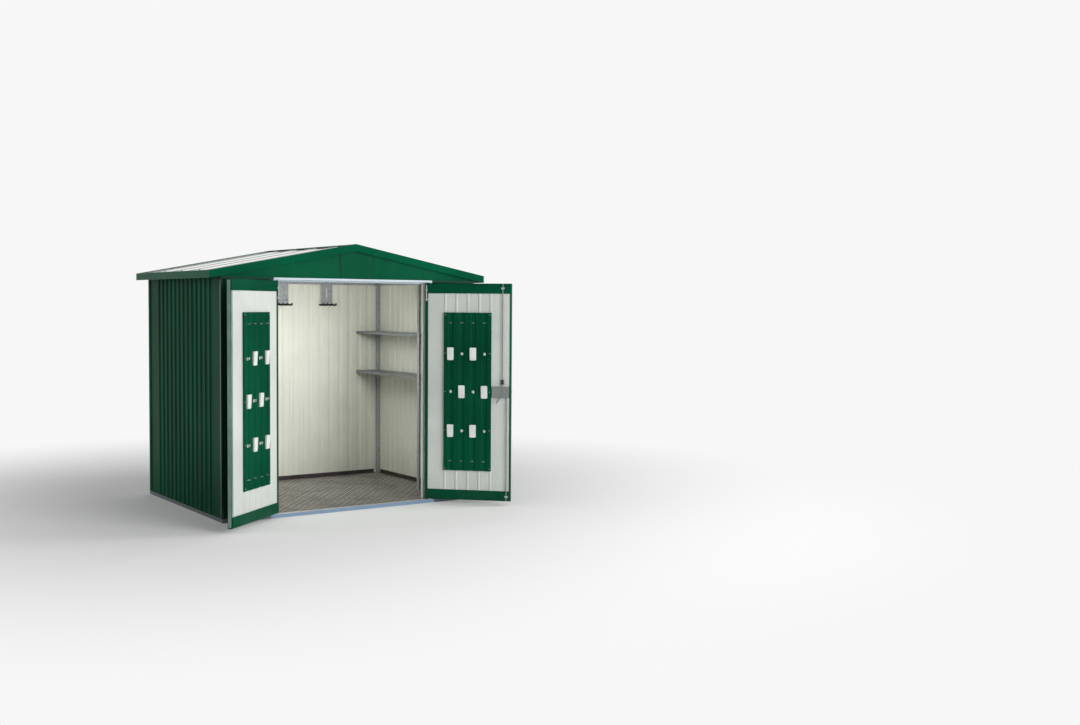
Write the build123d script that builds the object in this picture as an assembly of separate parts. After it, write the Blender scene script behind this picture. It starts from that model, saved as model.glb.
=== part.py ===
from build123d import *
import math
import os

# A ribbed sheet metal shed with double doors, in millimetres.
# X runs right along the front, Y from the doors to the back wall, Z up.
# The origin is the centre of the walls' plan, on the ground.

# Overall sizes
wallWide = 2200.0
wallDeep = 1680.0
eaveTop = 1880.0
ridgeRise = 230.0
eaveReach = 95.0
frontReach = 20.0
trimHigh = 57.0

# Stock
sheet = 1.5
plate = 2.0
tubeWide = 30.0
slack = 1.0

# Ribs of the wall and roof sheets
ribPitch = 98.0
ribHigh = 8.0
ribBase = 44.0
ribFlat = 26.0
lapWide = 34.0
sideMargin = 230.0
backMargin = 120.0
roofPitch = 200.0
roofMargin = 140.0
roofLap = 45.0

# Base and floor
sillHigh = 28.0
ringWide = 45.0
floorTube = 60.0
floorSeam = 1.0
crossPitch = 520.0
longPlace = 540.0

# Front wall and lintel
frontPanel = 364.0
grooveInset = 47.0
grooveDeep = 6.0
grooveWide = 18.0
jambDeep = 60.0
jambLip = 20.0
headDrop = 62.0
webThick = 4.0
webDeep = 70.0
frontLip = 16.0
backDrop = 12.0
railDrop = 6.0
railHigh = 28.0
railWide = 38.0

# Roof trim, gable plate and ridge beam
trimFlange = 26.0
trimReturn = 9.0
capHalf = 38.0
keyTopHalf = 131.0
keyLowHalf = 117.0
keyDrop = 87.0
keyRaise = 12.0
keyThick = 3.0
beamWide = 40.0
beamHigh = 50.0

# Door leaves
pivotInset = 50.0
pivotReach = 5.0
leafTail = 41.0
leafThick = 32.0
leafGap = 3.0
leafClear = 6.0
leafRail = 78.0
leafStile = 11.0
skinPitch = 80.0
skinRib = 5.0
linerPitch = 96.0
linerMargin = 165.0
pinWide = 10.0
pinReach = 14.0
pinClear = 1.0
leftOpen = 140.0
rightOpen = 133.75

# Tool boards with their pockets and hooks
boardMargin = 162.0
boardHigh = 1296.0
boardLift = 244.0
boardDeep = 12.0
flutePitch = 95.0
fluteMargin = 55.0
fluteDeep = 6.0
pocketWide = 52.0
pocketHigh = 104.0
pocketDeep = 24.0
pocketWall = 2.0
hookWide = 14.0
hookHigh = 28.0
hookReach = 22.0
hookThick = 4.0
rowLift = (1212.0, 958.0, 648.0, 326.0, 79.0)

# Lock
lockLift = 900.0
spindleInset = 51.0
rodOffset = 18.0
rodWide = 8.0
rodStand = 10.0
rodClear = 1.0
rodGap = 2.0
boltClear = 3.0
caseHigh = 91.0
caseWide = 140.0
caseInset = 13.0
caseDeep = 18.0
discWide = 28.0
leverLong = 112.0
leverTurn = 53.4
leverWide = 14.0
leverThick = 8.0
handleLong = 96.0
handleThick = 12.0
spindleWide = 12.0
spindleClear = 1.0
gripLift = 82.0
gripHigh = 36.0
gripWide = 22.0
guideHigh = 14.0
guideWide = 26.0

# Shelves and tool hangers
upperShelf = 1381.0
lowerShelf = 1012.0
shelfDeep = 246.0
shelfDrop = 24.0
shelfLip = 12.0
postSetback = 289.0
postWide = 80.0
postThick = 30.0
shelfPast = 14.0
bracketThick = 3.0
frontBracket = (70.0, 90.0)
backBracket = (80.0, 100.0)
bracketEdge = 8.0
strapLow = 860.0
hangerPlaces = (110.0, 548.0)
hangerWide = 116.0
hangerHigh = 205.0
hangerSlot = (12.0, 80.0)
hangerBar = 160.0
barHigh = 16.0
barDeep = 10.0
prongPlaces = (-64.0, -22.0, 22.0, 64.0)
prongWide = 12.0
prongLong = 70.0
prongThick = 8.0
prongTip = 22.0

# Places that follow from the sizes
halfW = wallWide / 2
halfD = wallDeep / 2
roofHalf = halfW + eaveReach
roofFront = -halfD - frontReach
apexTop = eaveTop + ridgeRise
slope = ridgeRise / roofHalf
lintelLow = eaveTop - headDrop
webTop = lintelLow + webThick
railTop = lintelLow - railDrop + railHigh
roofUnder = ribHigh + sheet
lapHigh = ribHigh - plate
panOut = halfW - ribHigh
panIn = panOut - sheet
backIn = halfD - ribHigh - sheet
fieldHalf = halfW - sheet
tubeIn = fieldHalf - tubeWide
tubeBack = halfD - sheet - tubeWide
openHalf = halfW - frontPanel
pivotX = openHalf - pivotInset
pivotY = -halfD - pivotReach
leafHalf = leafThick / 2
leafLow = sillHigh + leafClear
leafTop = lintelLow - leafClear
leafWide = pivotX + leafTail - leafGap
holeR = pinWide / 2 + pinClear
boardWide = leafWide - 2 * boardMargin
boardIn = boardMargin
boardOut = boardIn + boardWide
boardBack = leafHalf - sheet + skinRib
boardFace = boardBack + boardDeep
boardLow = leafLow + boardLift
spindleU = leafWide - spindleInset
spindleZ = sillHigh + lockLift
upperRodU = spindleU - rodOffset
lowerRodU = spindleU + rodOffset
rodV = leafHalf + rodStand
boltR = rodWide / 2 + boltClear
shelfIn = halfW - shelfDeep
postIn = shelfIn + sheet
postOut = postIn + postThick
postFront = -halfD + postSetback
postBack = postFront + postWide
shelfFront = postFront - shelfPast
far = 3000.0
deepCut = 20.0


def block(x0, x1, y0, y1, z0, z1):
    centre = Pos((x0 + x1) / 2, (y0 + y1) / 2, (z0 + z1) / 2)
    return centre * Box(abs(x1 - x0), abs(y1 - y0), abs(z1 - z0))


def spread(count, pitch):
    return [(i - (count - 1) / 2) * pitch for i in range(count)]


def fitting(length, margin, pitch):
    return int((length - 2 * margin) / pitch) + 1


def prism(points, way, length):
    return extrude(make_face(Polyline(*points, close=True)), amount=length, dir=way)


def upright(points, low, high):
    return prism([(x, y, low) for x, y in points], (0, 0, 1), high - low)


def crosswise(points, y0, y1):
    return prism([(x, y0, z) for x, z in points], (0, 1, 0), y1 - y0)


def joined(items):
    total = items[0]
    for item in items[1:]:
        total = total + item
    return total


def ridge(x):
    return apexTop - slope * abs(x)


# Outline of a ribbed sheet: its outer line as (along, outward), then back one sheet lower
def ribbed(start, end, centres, base, flat, high, lap=0.0):
    line = [(start, 0.0)]
    if lap > 0:
        line = [(start, high), (start + lap, high), (start + lap + high, 0.0)]
    for c in centres:
        line += [(c - base / 2, 0.0), (c - flat / 2, high), (c + flat / 2, high), (c + base / 2, 0.0)]
    if lap > 0:
        line += [(end - lap - high, 0.0), (end - lap, high), (end, high)]
    else:
        line.append((end, 0.0))
    return line + [(s, d - sheet) for s, d in reversed(line)]


# Base ring, an inward facing channel whose front reaches out as the door sill
def baseFrame():
    ring = block(-halfW, halfW, roofFront, halfD, 0, sillHigh)
    ring -= block(-halfW + plate, halfW - plate, roofFront + plate, halfD - plate, plate, sillHigh - plate)
    inX = halfW - ringWide
    inY = halfD - ringWide
    ring -= block(-inX, inX, -inY, inY, -deepCut, sillHigh + deepCut)
    for side in (-1, 1):
        ring -= Pos(side * pivotX, pivotY, sillHigh) * Cylinder(holeR, deepCut)
    ring -= Pos(pivotX + leafTail - lowerRodU, pivotY + rodV, sillHigh) * Cylinder(boltR, deepCut)
    return ring


# Grid of flat tubes that carries the floor plates
def floorGrid():
    inX = halfW - ringWide
    inY = halfD - ringWide
    top = sillHigh - plate
    half = floorTube / 2
    outer = []
    inner = []
    for y in (-crossPitch, 0.0, crossPitch):
        outer.append(block(-inX, inX, y - half, y + half, 0, top))
        inner.append(block(-inX - slack, inX + slack, y - half + plate, y + half - plate, plate, top - plate))
    for x in (-longPlace, longPlace):
        outer.append(block(x - half, x + half, -inY, inY, 0, top))
        inner.append(block(x - half + plate, x + half - plate, -inY - slack, inY + slack, plate, top - plate))
    return joined(outer) - joined(inner)


def floorPlates():
    inX = halfW - ringWide
    inY = halfD - ringWide
    low = sillHigh - plate
    return [block(side * floorSeam / 2, side * inX, -inY, inY, low, sillHigh) for side in (-1, 1)]


def sideWall():
    ribs = spread(fitting(wallDeep, sideMargin, ribPitch), ribPitch)
    line = ribbed(-halfD, halfD, ribs, ribBase, ribFlat, ribHigh, lapWide)
    return upright([(panOut + d, s) for s, d in line], sillHigh, ridge(halfW) - roofUnder - slack)


def backWall():
    ribs = spread(fitting(wallWide, backMargin, ribPitch), ribPitch)
    line = ribbed(-fieldHalf, fieldHalf, ribs, ribBase, ribFlat, ribHigh, lapWide)
    return upright([(s, halfD - ribHigh + d) for s, d in line], sillHigh, webTop)


def gableLine(x0, x1):
    under = roofUnder - lapHigh
    points = [(x0, webTop), (x1, webTop), (x1, ridge(x1) - under)]
    if x0 < 0 < x1:
        points.append((0, apexTop - under))
    points.append((x0, ridge(x0) - under))
    return points


def cornerPosts():
    posts = []
    half = tubeWide / 2
    bore = half - plate
    for sx in (-1, 1):
        for sy in (-1, 1):
            x = sx * (fieldHalf - half)
            y = sy * (halfD - sheet - half)
            post = block(x - half, x + half, y - half, y + half, sillHigh, lintelLow)
            posts.append(post - block(x - bore, x + bore, y - bore, y + bore, 0, far))
    return posts


# Flat front sheet with one groove, folded back at the doorway as the jamb
def frontPanelSheet():
    groove = [halfW - grooveInset]
    line = ribbed(openHalf, fieldHalf, groove, grooveWide, grooveWide - grooveDeep, -grooveDeep)
    face = upright([(s, -halfD - d) for s, d in line], sillHigh, lintelLow)
    jamb = block(openHalf, openHalf + sheet, -halfD, -halfD + jambDeep, sillHigh, lintelLow)
    back = -halfD + jambDeep
    lip = block(openHalf, openHalf + jambLip, back - sheet, back, sillHigh, lintelLow)
    return joined([face, jamb, lip])


# Level web that the pivots turn in, with a lip in front and a drop behind
def lintel():
    back = roofFront + webDeep
    head = block(-fieldHalf, fieldHalf, roofFront, -tubeBack, lintelLow, webTop)
    head += block(-tubeIn, tubeIn, roofFront, back, lintelLow, webTop)
    head += block(-fieldHalf, fieldHalf, roofFront, roofFront + plate, lintelLow, lintelLow + frontLip)
    head += block(-openHalf, openHalf, back - plate, back, lintelLow - backDrop, webTop)
    for side in (-1, 1):
        head -= Pos(side * pivotX, pivotY, lintelLow) * Cylinder(holeR, deepCut)
    head -= Pos(pivotX + leafTail - upperRodU, pivotY + rodV, lintelLow) * Cylinder(boltR, deepCut)
    return head


# Angle rail round the side and back walls
def topRail():
    front = roofFront + webDeep
    low = railTop - railHigh
    rail = block(-panIn, panIn, front, backIn, railTop - plate, railTop)
    rail -= block(-panIn + railWide, panIn - railWide, front - slack, backIn - railWide, 0, far)
    for side in (-1, 1):
        rail += block(side * panIn, side * (panIn - plate), front, backIn, low, railTop)
    rail += block(-panIn, panIn, backIn - plate, backIn, low, railTop)
    for side in (-1, 1):
        rail -= block(side * tubeIn, side * halfW, tubeBack, halfD, 0, lintelLow)
    return rail


def gablePlate():
    low = lintelLow + frontLip + plate
    top = apexTop - keyDrop
    points = [(-keyLowHalf, low), (keyLowHalf, low), (keyTopHalf, top), (0, top + keyRaise), (-keyTopHalf, top)]
    return crosswise(points, -halfD - keyThick, -halfD)


# One slope of the roof, its ribs running down from the ridge under the folded trim
def roofSheet():
    edge = -roofFront - plate
    ribs = spread(fitting(2 * edge, roofMargin, roofPitch), roofPitch)
    line = ribbed(-edge, edge, ribs, ribBase, ribFlat, lapHigh, roofLap)
    top = ridge(slack) - ribHigh
    run = (roofHalf - plate - slack) * math.hypot(1, slope)
    return prism([(slack, s, top + d) for s, d in line], (1, 0, -slope), run)


def band(x0, x1, top, low, y0, y1):
    x0, x1 = min(x0, x1), max(x0, x1)
    points = [(x0, ridge(x0) - top), (x1, ridge(x1) - top), (x1, ridge(x1) - low), (x0, ridge(x0) - low)]
    if x0 < 0 < x1:
        points.insert(1, (0, apexTop - top))
        points.insert(4, (0, apexTop - low))
    return crosswise(points, min(y0, y1), max(y0, y1))


# Folded trim round the eaves and verges, with its ridge cap
def roofTrim():
    pieces = []
    back = -roofFront
    for edge, inward in ((roofFront, 1), (back, -1)):
        pieces.append(band(-roofHalf, roofHalf, 0, trimHigh, edge, edge + inward * plate))
        pieces.append(band(-roofHalf, roofHalf, 0, plate, edge, edge + inward * trimFlange))
        pieces.append(band(-roofHalf, roofHalf, trimHigh - sheet, trimHigh, edge, edge + inward * trimReturn))
    for side in (-1, 1):
        edge = side * roofHalf
        pieces.append(band(edge - side * plate, edge, 0, trimHigh, roofFront, back))
        pieces.append(band(edge - side * trimFlange, edge, 0, plate, roofFront, back))
        pieces.append(band(edge - side * trimReturn, edge, trimHigh - sheet, trimHigh, roofFront, back))
    pieces.append(band(-capHalf, capHalf, 0, plate, roofFront, back))
    return joined(pieces)


def ridgeBeam():
    half = beamWide / 2
    top = ridge(half) - roofUnder
    end = halfD - sheet
    beam = block(-half, half, -end, end, top - beamHigh, top)
    bore = half - plate
    return beam - block(-bore, bore, -halfD, halfD, top - beamHigh + plate, top - plate)


# Tray shelf along the right wall, notched round its front post and the corner strap
def shelf(top):
    outer = panIn - plate
    back = backIn - plate
    tray = block(shelfIn, outer, shelfFront, back, top - sheet, top)
    tray += block(shelfIn, shelfIn + sheet, shelfFront, back, top - shelfDrop, top)
    tray += block(shelfIn, outer, shelfFront, shelfFront + sheet, top - shelfDrop, top)
    tray += block(outer - sheet, outer, shelfFront, tubeBack, top - shelfDrop, top)
    tray += block(shelfIn, shelfIn + shelfLip, shelfFront, back, top - shelfDrop, top - shelfDrop + sheet)
    tray -= block(postIn, postOut, postFront, postBack + bracketThick, 0, far)
    tray -= block(postIn, postIn + bracketThick, postBack, postBack + frontBracket[0], 0, top - sheet)
    return tray - block(tubeIn, halfW, tubeBack - bracketThick, halfD, 0, far)


# Curved bracket in its own plane: along the shelf, then down, with a hollow edge
def bracket(size, place, way):
    long, drop = size
    diagonal = math.sqrt(0.5)
    bend = (long - (long - bracketEdge) * diagonal, (drop - bracketEdge) * diagonal - drop)
    start = place(long, -bracketEdge)
    finish = place(bracketEdge, -drop)
    edges = [
        Line(place(0, 0), place(long, 0)),
        Line(place(long, 0), start),
        ThreePointArc(start, place(*bend), finish),
        Line(finish, place(0, -drop)),
        Line(place(0, -drop), place(0, 0)),
    ]
    return extrude(make_face(edges), amount=bracketThick, dir=way)


def shelfPost():
    top = railTop - plate
    post = block(postIn, postOut, postFront, postBack, sillHigh, top)
    post -= block(postIn + plate, far, postFront + plate, postBack - plate, 0, far)
    post += block(postIn, panIn - plate, postFront, postBack, top - plate, top)
    for level in (upperShelf, lowerShelf):
        post += bracket(frontBracket, lambda a, b: (postIn, postBack + a, level - sheet + b), (1, 0, 0))
    return post


def shelfStrap():
    front = tubeBack - bracketThick
    strap = block(tubeIn, panIn - plate, front, tubeBack, strapLow, upperShelf)
    for level in (upperShelf, lowerShelf):
        strap += bracket(backBracket, lambda a, b: (tubeIn - a, front, level - sheet + b), (0, 1, 0))
    return strap


# Slotted plate on the back rail with a pronged bar for long handles
def hanger(x):
    face = backIn - plate
    top = railTop - plate
    low = top - hangerHigh
    half = hangerWide / 2
    slotHalf = hangerSlot[0] / 2
    body = block(x - half, x + half, face - plate, face, low, top)
    middle = (low + top) / 2
    body -= block(x - slotHalf, x + slotHalf, face - deepCut, far, middle - hangerSlot[1] / 2, middle + hangerSlot[1] / 2)
    body += block(x - hangerBar / 2, x + hangerBar / 2, face - barDeep, face, low - barHigh, low)
    for place in prongPlaces:
        x0 = x + place - prongWide / 2
        x1 = x0 + prongWide
        body += block(x0, x1, face - prongLong, face, low - barHigh, low - barHigh + prongThick)
        tip = face - prongLong
        body += block(x0, x1, tip, tip + prongThick, low - barHigh, low - barHigh + prongTip)
    return body


# Door leaf pieces lie as in the closed left leaf: u from the hinge edge, v inward, z up
def leafFrame():
    frame = block(0, leafWide, -leafHalf, leafHalf, leafLow, leafTop)
    inner = leafHalf - sheet
    frame -= block(sheet, leafWide - sheet, -inner, inner, leafLow + sheet, leafTop - sheet)
    frame -= block(leafStile, leafWide - leafStile, 0, leafThick, leafLow + leafRail, leafTop - leafRail)
    rim = leafRail / 3
    frame -= block(rim, leafWide - rim, -leafThick, 0, leafLow + rim, leafTop - rim)
    for z in (leafLow, leafTop):
        frame -= Pos(leafTail, 0, z) * Cylinder(pinWide / 2, deepCut / 2)
    return frame


def leafSkin():
    count = fitting(leafWide, leafRail, skinPitch)
    ribs = [leafWide / 2 + s for s in spread(count, skinPitch)]
    line = ribbed(plate, leafWide - plate, ribs, ribBase, ribFlat, skinRib, leafRail / 3)
    pan = -leafHalf + sheet + skinRib
    skin = upright([(s, pan - d) for s, d in line], leafLow + plate, leafTop - plate)
    return skin


def leafLiner():
    count = fitting(leafWide, linerMargin, linerPitch)
    ribs = [leafWide / 2 + s for s in spread(count, linerPitch)]
    line = ribbed(plate, leafWide - plate, ribs, ribFlat, ribFlat - 2 * ribHigh + skinRib, skinRib)
    pan = leafHalf - sheet
    return upright([(s, pan + d) for s, d in line], leafLow + leafRail + slack / 2, leafTop - leafRail - slack / 2)


def fluteCentres():
    count = fitting(boardWide, fluteMargin, flutePitch)
    return [leafWide / 2 + s for s in spread(count, flutePitch)]


def toolBoard():
    top = boardLow + boardHigh
    line = ribbed(boardIn, boardOut, fluteCentres(), ribBase, ribFlat, -fluteDeep)
    board = upright([(s, boardFace + d) for s, d in line], boardLow, top)
    board += block(boardIn, boardIn + sheet, boardBack, boardFace, boardLow, top)
    board += block(boardOut - sheet, boardOut, boardBack, boardFace, boardLow, top)
    return board


# Open-topped pocket with a sloping front
def pocket(u, z):
    def side(gap, rise):
        low = z - pocketHigh / 2 + gap
        high = z + pocketHigh / 2 + rise
        narrow = pocketDeep * 2 / 3
        return [(boardFace + gap, low), (boardFace + narrow - gap, low), (boardFace + pocketDeep - gap, high), (boardFace + gap, high)]

    def solid(points, half):
        return prism([(u - half, v, h) for v, h in points], (1, 0, 0), 2 * half)

    return solid(side(0, 0), pocketWide / 2) - solid(side(pocketWall, slack), pocketWide / 2 - pocketWall)


def hook(u, z):
    seat = boardFace - fluteDeep
    half = hookHigh / 2
    tip = seat + hookReach
    points = [
        (seat, z - half),
        (tip, z - half),
        (tip, z - half + hookHigh * 0.6),
        (tip - hookThick, z - half + hookHigh * 0.6),
        (tip - hookThick, z - half + hookThick),
        (seat + hookThick, z - half + hookThick),
        (seat + hookThick, z + half),
        (seat, z + half),
    ]
    return prism([(u - hookWide / 2, v, h) for v, h in points], (1, 0, 0), hookWide)


# Pockets and hooks take turns in the middle rows, and the end rows have hooks alone
def boardFittings(kind):
    pieces = []
    ends = (rowLift[0], rowLift[-1])
    for row, lift in enumerate(rowLift):
        for column, u in enumerate(fluteCentres()):
            holdsPocket = lift not in ends and (row + column) % 2 == 1
            if holdsPocket and kind == "pocket":
                pieces.append(pocket(u, boardLow + lift))
            if not holdsPocket and kind == "hook":
                pieces.append(hook(u, boardLow + lift))
    return pieces


def pivotRod():
    return Pos(leafTail, 0, (leafLow + leafTop) / 2) * Cylinder(pinWide / 2, leafTop - leafLow + 2 * pinReach)


# Lock of the right leaf: case, turning lever and two rods
def across(u, v, radius, length):
    return Pos(u, v, spindleZ) * Rot(90, 0, 0) * Cylinder(radius, length)


def lockCase():
    u1 = leafWide - caseInset
    u0 = u1 - caseWide
    low = spindleZ - caseHigh / 2
    top = spindleZ + caseHigh / 2
    front = leafHalf + caseDeep
    case = block(u0, u1, leafHalf, front, low, top)
    case -= block(u0 + plate, u1 - plate, 0, front - plate, low + plate, top - plate)
    case -= Pos(upperRodU, rodV, top) * Cylinder(rodWide / 2 + rodClear, deepCut)
    case -= Pos(lowerRodU, rodV, low) * Cylinder(rodWide / 2 + rodClear, deepCut)
    return case - across(spindleU, front, spindleWide / 2 + spindleClear, deepCut)


def lockLever():
    front = leafHalf + caseDeep
    arm = Pos(-leverLong / 2, 0, 0) * Box(leverLong, leverThick, leverWide)
    armV = front + spindleClear + leverThick / 2
    tail = -leafHalf - handleThick * 1.5
    lever = across(spindleU, (armV + tail) / 2, spindleWide / 2, armV - tail)
    lever += across(spindleU, armV, leverWide * 0.8, leverThick)
    lever += Pos(spindleU, armV, spindleZ) * Rot(0, -leverTurn, 0) * arm
    lever += across(spindleU, rodV, discWide / 2, leverThick)
    grip = block(-handleLong / 2, handleLong / 2, 0, handleThick, -leverWide / 2, leverWide / 2)
    lever += Pos(spindleU, tail - handleThick / 2, spindleZ) * grip
    return lever


def upperRod():
    low = spindleZ + discWide / 2 + leverThick
    top = leafTop - rodGap
    return Pos(upperRodU, rodV, (low + top) / 2) * Cylinder(rodWide / 2, top - low)


def lowerRod():
    low = leafLow + rodGap
    top = spindleZ - discWide / 2 - leverThick
    return Pos(lowerRodU, rodV, (low + top) / 2) * Cylinder(rodWide / 2, top - low)


def rodGrip():
    place = Pos(upperRodU, rodV, spindleZ + gripLift)
    return place * Cylinder(gripWide / 2, gripHigh) - place * Cylinder(rodWide / 2, 2 * gripHigh)


def rodGuides():
    guides = []
    for u, z in ((upperRodU, leafTop - leafRail / 2), (lowerRodU, leafLow + leafRail / 2)):
        top = rodV + rodWide
        guide = block(u - guideWide / 2, u + guideWide / 2, leafHalf, top, z - guideHigh / 2, z + guideHigh / 2)
        guides.append(guide - Pos(u, rodV, z) * Cylinder(rodWide / 2 + rodClear, 2 * guideHigh))
    return guides


# Stand a leaf piece in its doorway and open it to the shown angle
def hang(shape, side):
    closed = Pos(-pivotX - leafTail, pivotY, 0) * shape
    turn = -leftOpen
    if side > 0:
        closed = mirror(closed, about=Plane.YZ)
        turn = rightOpen
    x = side * pivotX
    return Pos(x, pivotY, 0) * Rot(0, 0, turn) * Pos(-x, -pivotY, 0) * closed


def mirrored(shape):
    return mirror(shape, about=Plane.YZ)


nodes = {
    "base_frame": [baseFrame()],
    "floor_grid": [floorGrid()],
    "floor_plates": floorPlates(),
    "right_wall": [sideWall()],
    "left_wall": [mirrored(sideWall())],
    "back_wall": [backWall()],
    "rear_gable": [crosswise(gableLine(-fieldHalf, fieldHalf), halfD - sheet, halfD)],
    "corner_posts": cornerPosts(),
    "front_right_panel": [frontPanelSheet()],
    "front_left_panel": [mirrored(frontPanelSheet())],
    "lintel": [lintel()],
    "top_rail": [topRail()],
    "front_gable_right": [crosswise(gableLine(0, fieldHalf), -halfD, -halfD + sheet)],
    "front_gable_left": [mirrored(crosswise(gableLine(0, fieldHalf), -halfD, -halfD + sheet))],
    "gable_plate": [gablePlate()],
    "right_roof": [roofSheet()],
    "left_roof": [mirrored(roofSheet())],
    "roof_trim": [roofTrim()],
    "ridge_beam": [ridgeBeam()],
    "upper_shelf": [shelf(upperShelf)],
    "lower_shelf": [shelf(lowerShelf)],
    "shelf_post": [shelfPost()],
    "shelf_strap": [shelfStrap()],
    "left_hanger": [hanger(hangerPlaces[0])],
    "right_hanger": [hanger(hangerPlaces[1])],
}

leafNodes = {
    "leaf_frame": [leafFrame()],
    "leaf_skin": [leafSkin()],
    "leaf_liner": [leafLiner()],
    "tool_board": [toolBoard()],
    "pockets": boardFittings("pocket"),
    "hooks": boardFittings("hook"),
    "pivot_rod": [pivotRod()],
}
spindleHole = across(spindleU, 0, spindleWide / 2 + spindleClear, 2 * leafThick)
for name, shapes in leafNodes.items():
    nodes["left_" + name] = [hang(shape, -1) for shape in shapes]
    if name in ("leaf_skin", "leaf_liner"):
        shapes = [shape - spindleHole for shape in shapes]
    nodes["right_" + name] = [hang(shape, 1) for shape in shapes]

lockNodes = {
    "lock_case": [lockCase()],
    "lock_lever": [lockLever()],
    "upper_rod": [upperRod()],
    "lower_rod": [lowerRod()],
    "rod_grip": [rodGrip()],
    "rod_guides": rodGuides(),
}
for name, shapes in lockNodes.items():
    nodes[name] = [hang(shape, 1) for shape in shapes]

os.makedirs("parts", exist_ok=True)
for name, shapes in nodes.items():
    solids = [solid for shape in shapes for solid in shape.solids()]
    if len(solids) != len(shapes):
        raise ValueError(name + " has " + str(len(solids)) + " solids")
    whole = solids[0] if len(solids) == 1 else Compound(children=solids)
    export_step(whole, "parts/" + name + ".step")
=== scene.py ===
import math
import bpy
from mathutils import Matrix, Vector


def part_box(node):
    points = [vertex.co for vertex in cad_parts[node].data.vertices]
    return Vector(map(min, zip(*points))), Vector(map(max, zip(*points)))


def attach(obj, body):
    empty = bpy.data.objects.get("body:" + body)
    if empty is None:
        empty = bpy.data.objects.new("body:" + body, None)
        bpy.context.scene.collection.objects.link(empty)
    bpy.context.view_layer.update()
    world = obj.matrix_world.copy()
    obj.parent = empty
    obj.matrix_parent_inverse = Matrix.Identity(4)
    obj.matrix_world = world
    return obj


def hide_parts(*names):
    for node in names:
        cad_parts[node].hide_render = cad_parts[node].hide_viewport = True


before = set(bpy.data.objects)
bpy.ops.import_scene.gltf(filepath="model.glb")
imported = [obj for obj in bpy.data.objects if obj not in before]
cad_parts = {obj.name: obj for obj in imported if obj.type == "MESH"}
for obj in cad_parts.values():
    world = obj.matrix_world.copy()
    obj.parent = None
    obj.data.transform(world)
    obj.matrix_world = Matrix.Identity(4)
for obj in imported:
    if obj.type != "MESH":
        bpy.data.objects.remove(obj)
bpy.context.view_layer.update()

print("frame loaded:", len(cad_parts), "nodes")


# camera, floor and light

cameraSet = {
    "place": (-4.410706, -9.591420, 1.651685),
    "yaw": 0.616959,
    "pitch": -0.048040,
    "roll": 0.007718,
    "lens": 40.8,
    "sensor": 36.0,
}

studio = {
    "floorReach": 60.0,
    "floorTone": 0.86,
    "fadeFrom": 1.6,
    "fadeTo": 5.5,
    "backTone": 0.93,
    "ambient": 0.38,
    "aim": (0.0, -0.2, 0.9),
}

lamps = {
    "frontLamp": {"place": (2.3, -9.0, 2.6), "size": (5.0, 2.6), "power": 500.0, "mirrored": False},
    "rightLamp": {"place": (6.5, -3.6, 4.2), "size": (3.2, 3.0), "power": 200.0, "mirrored": True},
    "leftLamp": {"place": (-8.5, 1.5, 5.0), "size": (4.0, 3.0), "power": 110.0, "mirrored": False},
    "rearLamp": {"place": (2.5, 9.0, 5.0), "size": (8.0, 5.0), "power": 88.0, "mirrored": False},
    "roofLamp": {"place": (2.5, 9.0, 5.0), "size": (8.0, 5.0), "power": 24.0, "mirrored": True},
    "insideLamp": {
        "place": (0.20, -0.50, 1.62), "aim": (-0.35, 0.8, 0.55), "size": (0.9, 0.24), "power": 11.0,
        "mirrored": False,
    },
}


def makeCamera():
    yaw, pitch, roll = cameraSet["yaw"], cameraSet["pitch"], cameraSet["roll"]
    ahead = Vector((math.sin(yaw) * math.cos(pitch), math.cos(yaw) * math.cos(pitch), math.sin(pitch)))
    level = Vector((math.cos(yaw), -math.sin(yaw), 0.0))
    above = level.cross(ahead)
    right = math.cos(roll) * level + math.sin(roll) * above
    up = math.cos(roll) * above - math.sin(roll) * level
    camera = bpy.data.objects.new("photoCamera", bpy.data.cameras.new("photoCamera"))
    camera.data.sensor_width = cameraSet["sensor"]
    camera.data.lens = cameraSet["lens"]
    camera.matrix_world = Matrix((
        (right.x, up.x, -ahead.x, cameraSet["place"][0]),
        (right.y, up.y, -ahead.y, cameraSet["place"][1]),
        (right.z, up.z, -ahead.z, cameraSet["place"][2]),
        (0.0, 0.0, 0.0, 1.0),
    ))
    bpy.context.scene.collection.objects.link(camera)
    bpy.context.scene.camera = camera
    bpy.context.scene.view_settings.view_transform = "Standard"


def feed(tree, socket, value):
    # a socket takes a link from another node's output, or a plain value
    if isinstance(value, bpy.types.NodeSocket):
        tree.links.new(value, socket)
    else:
        socket.default_value = value


def addNode(tree, kind, sockets=None, **settings):
    node = tree.nodes.new(kind)
    for name, value in settings.items():
        setattr(node, name, value)
    for name, value in (sockets or {}).items():
        feed(tree, node.inputs[name], value)
    return node


def firstOutput(tree, kind, sockets=None, **settings):
    return addNode(tree, kind, sockets, **settings).outputs[0]


def reckoned(tree, operation, *values):
    return firstOutput(tree, "ShaderNodeMath", dict(enumerate(values)), operation=operation)


def product(tree, first, second):
    return reckoned(tree, "MULTIPLY", first, second)


def total(tree, first, second):
    return reckoned(tree, "ADD", first, second)


def seenDirectly(tree):
    # 1 for rays that look at the backdrop, straight or by way of gloss and glass
    path = addNode(tree, "ShaderNodeLightPath").outputs
    either = reckoned(tree, "MAXIMUM", path["Is Camera Ray"], path["Is Glossy Ray"])
    return reckoned(tree, "MAXIMUM", either, path["Is Transmission Ray"])


def grey(tone):
    return (tone, tone, tone, 1.0)


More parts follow.
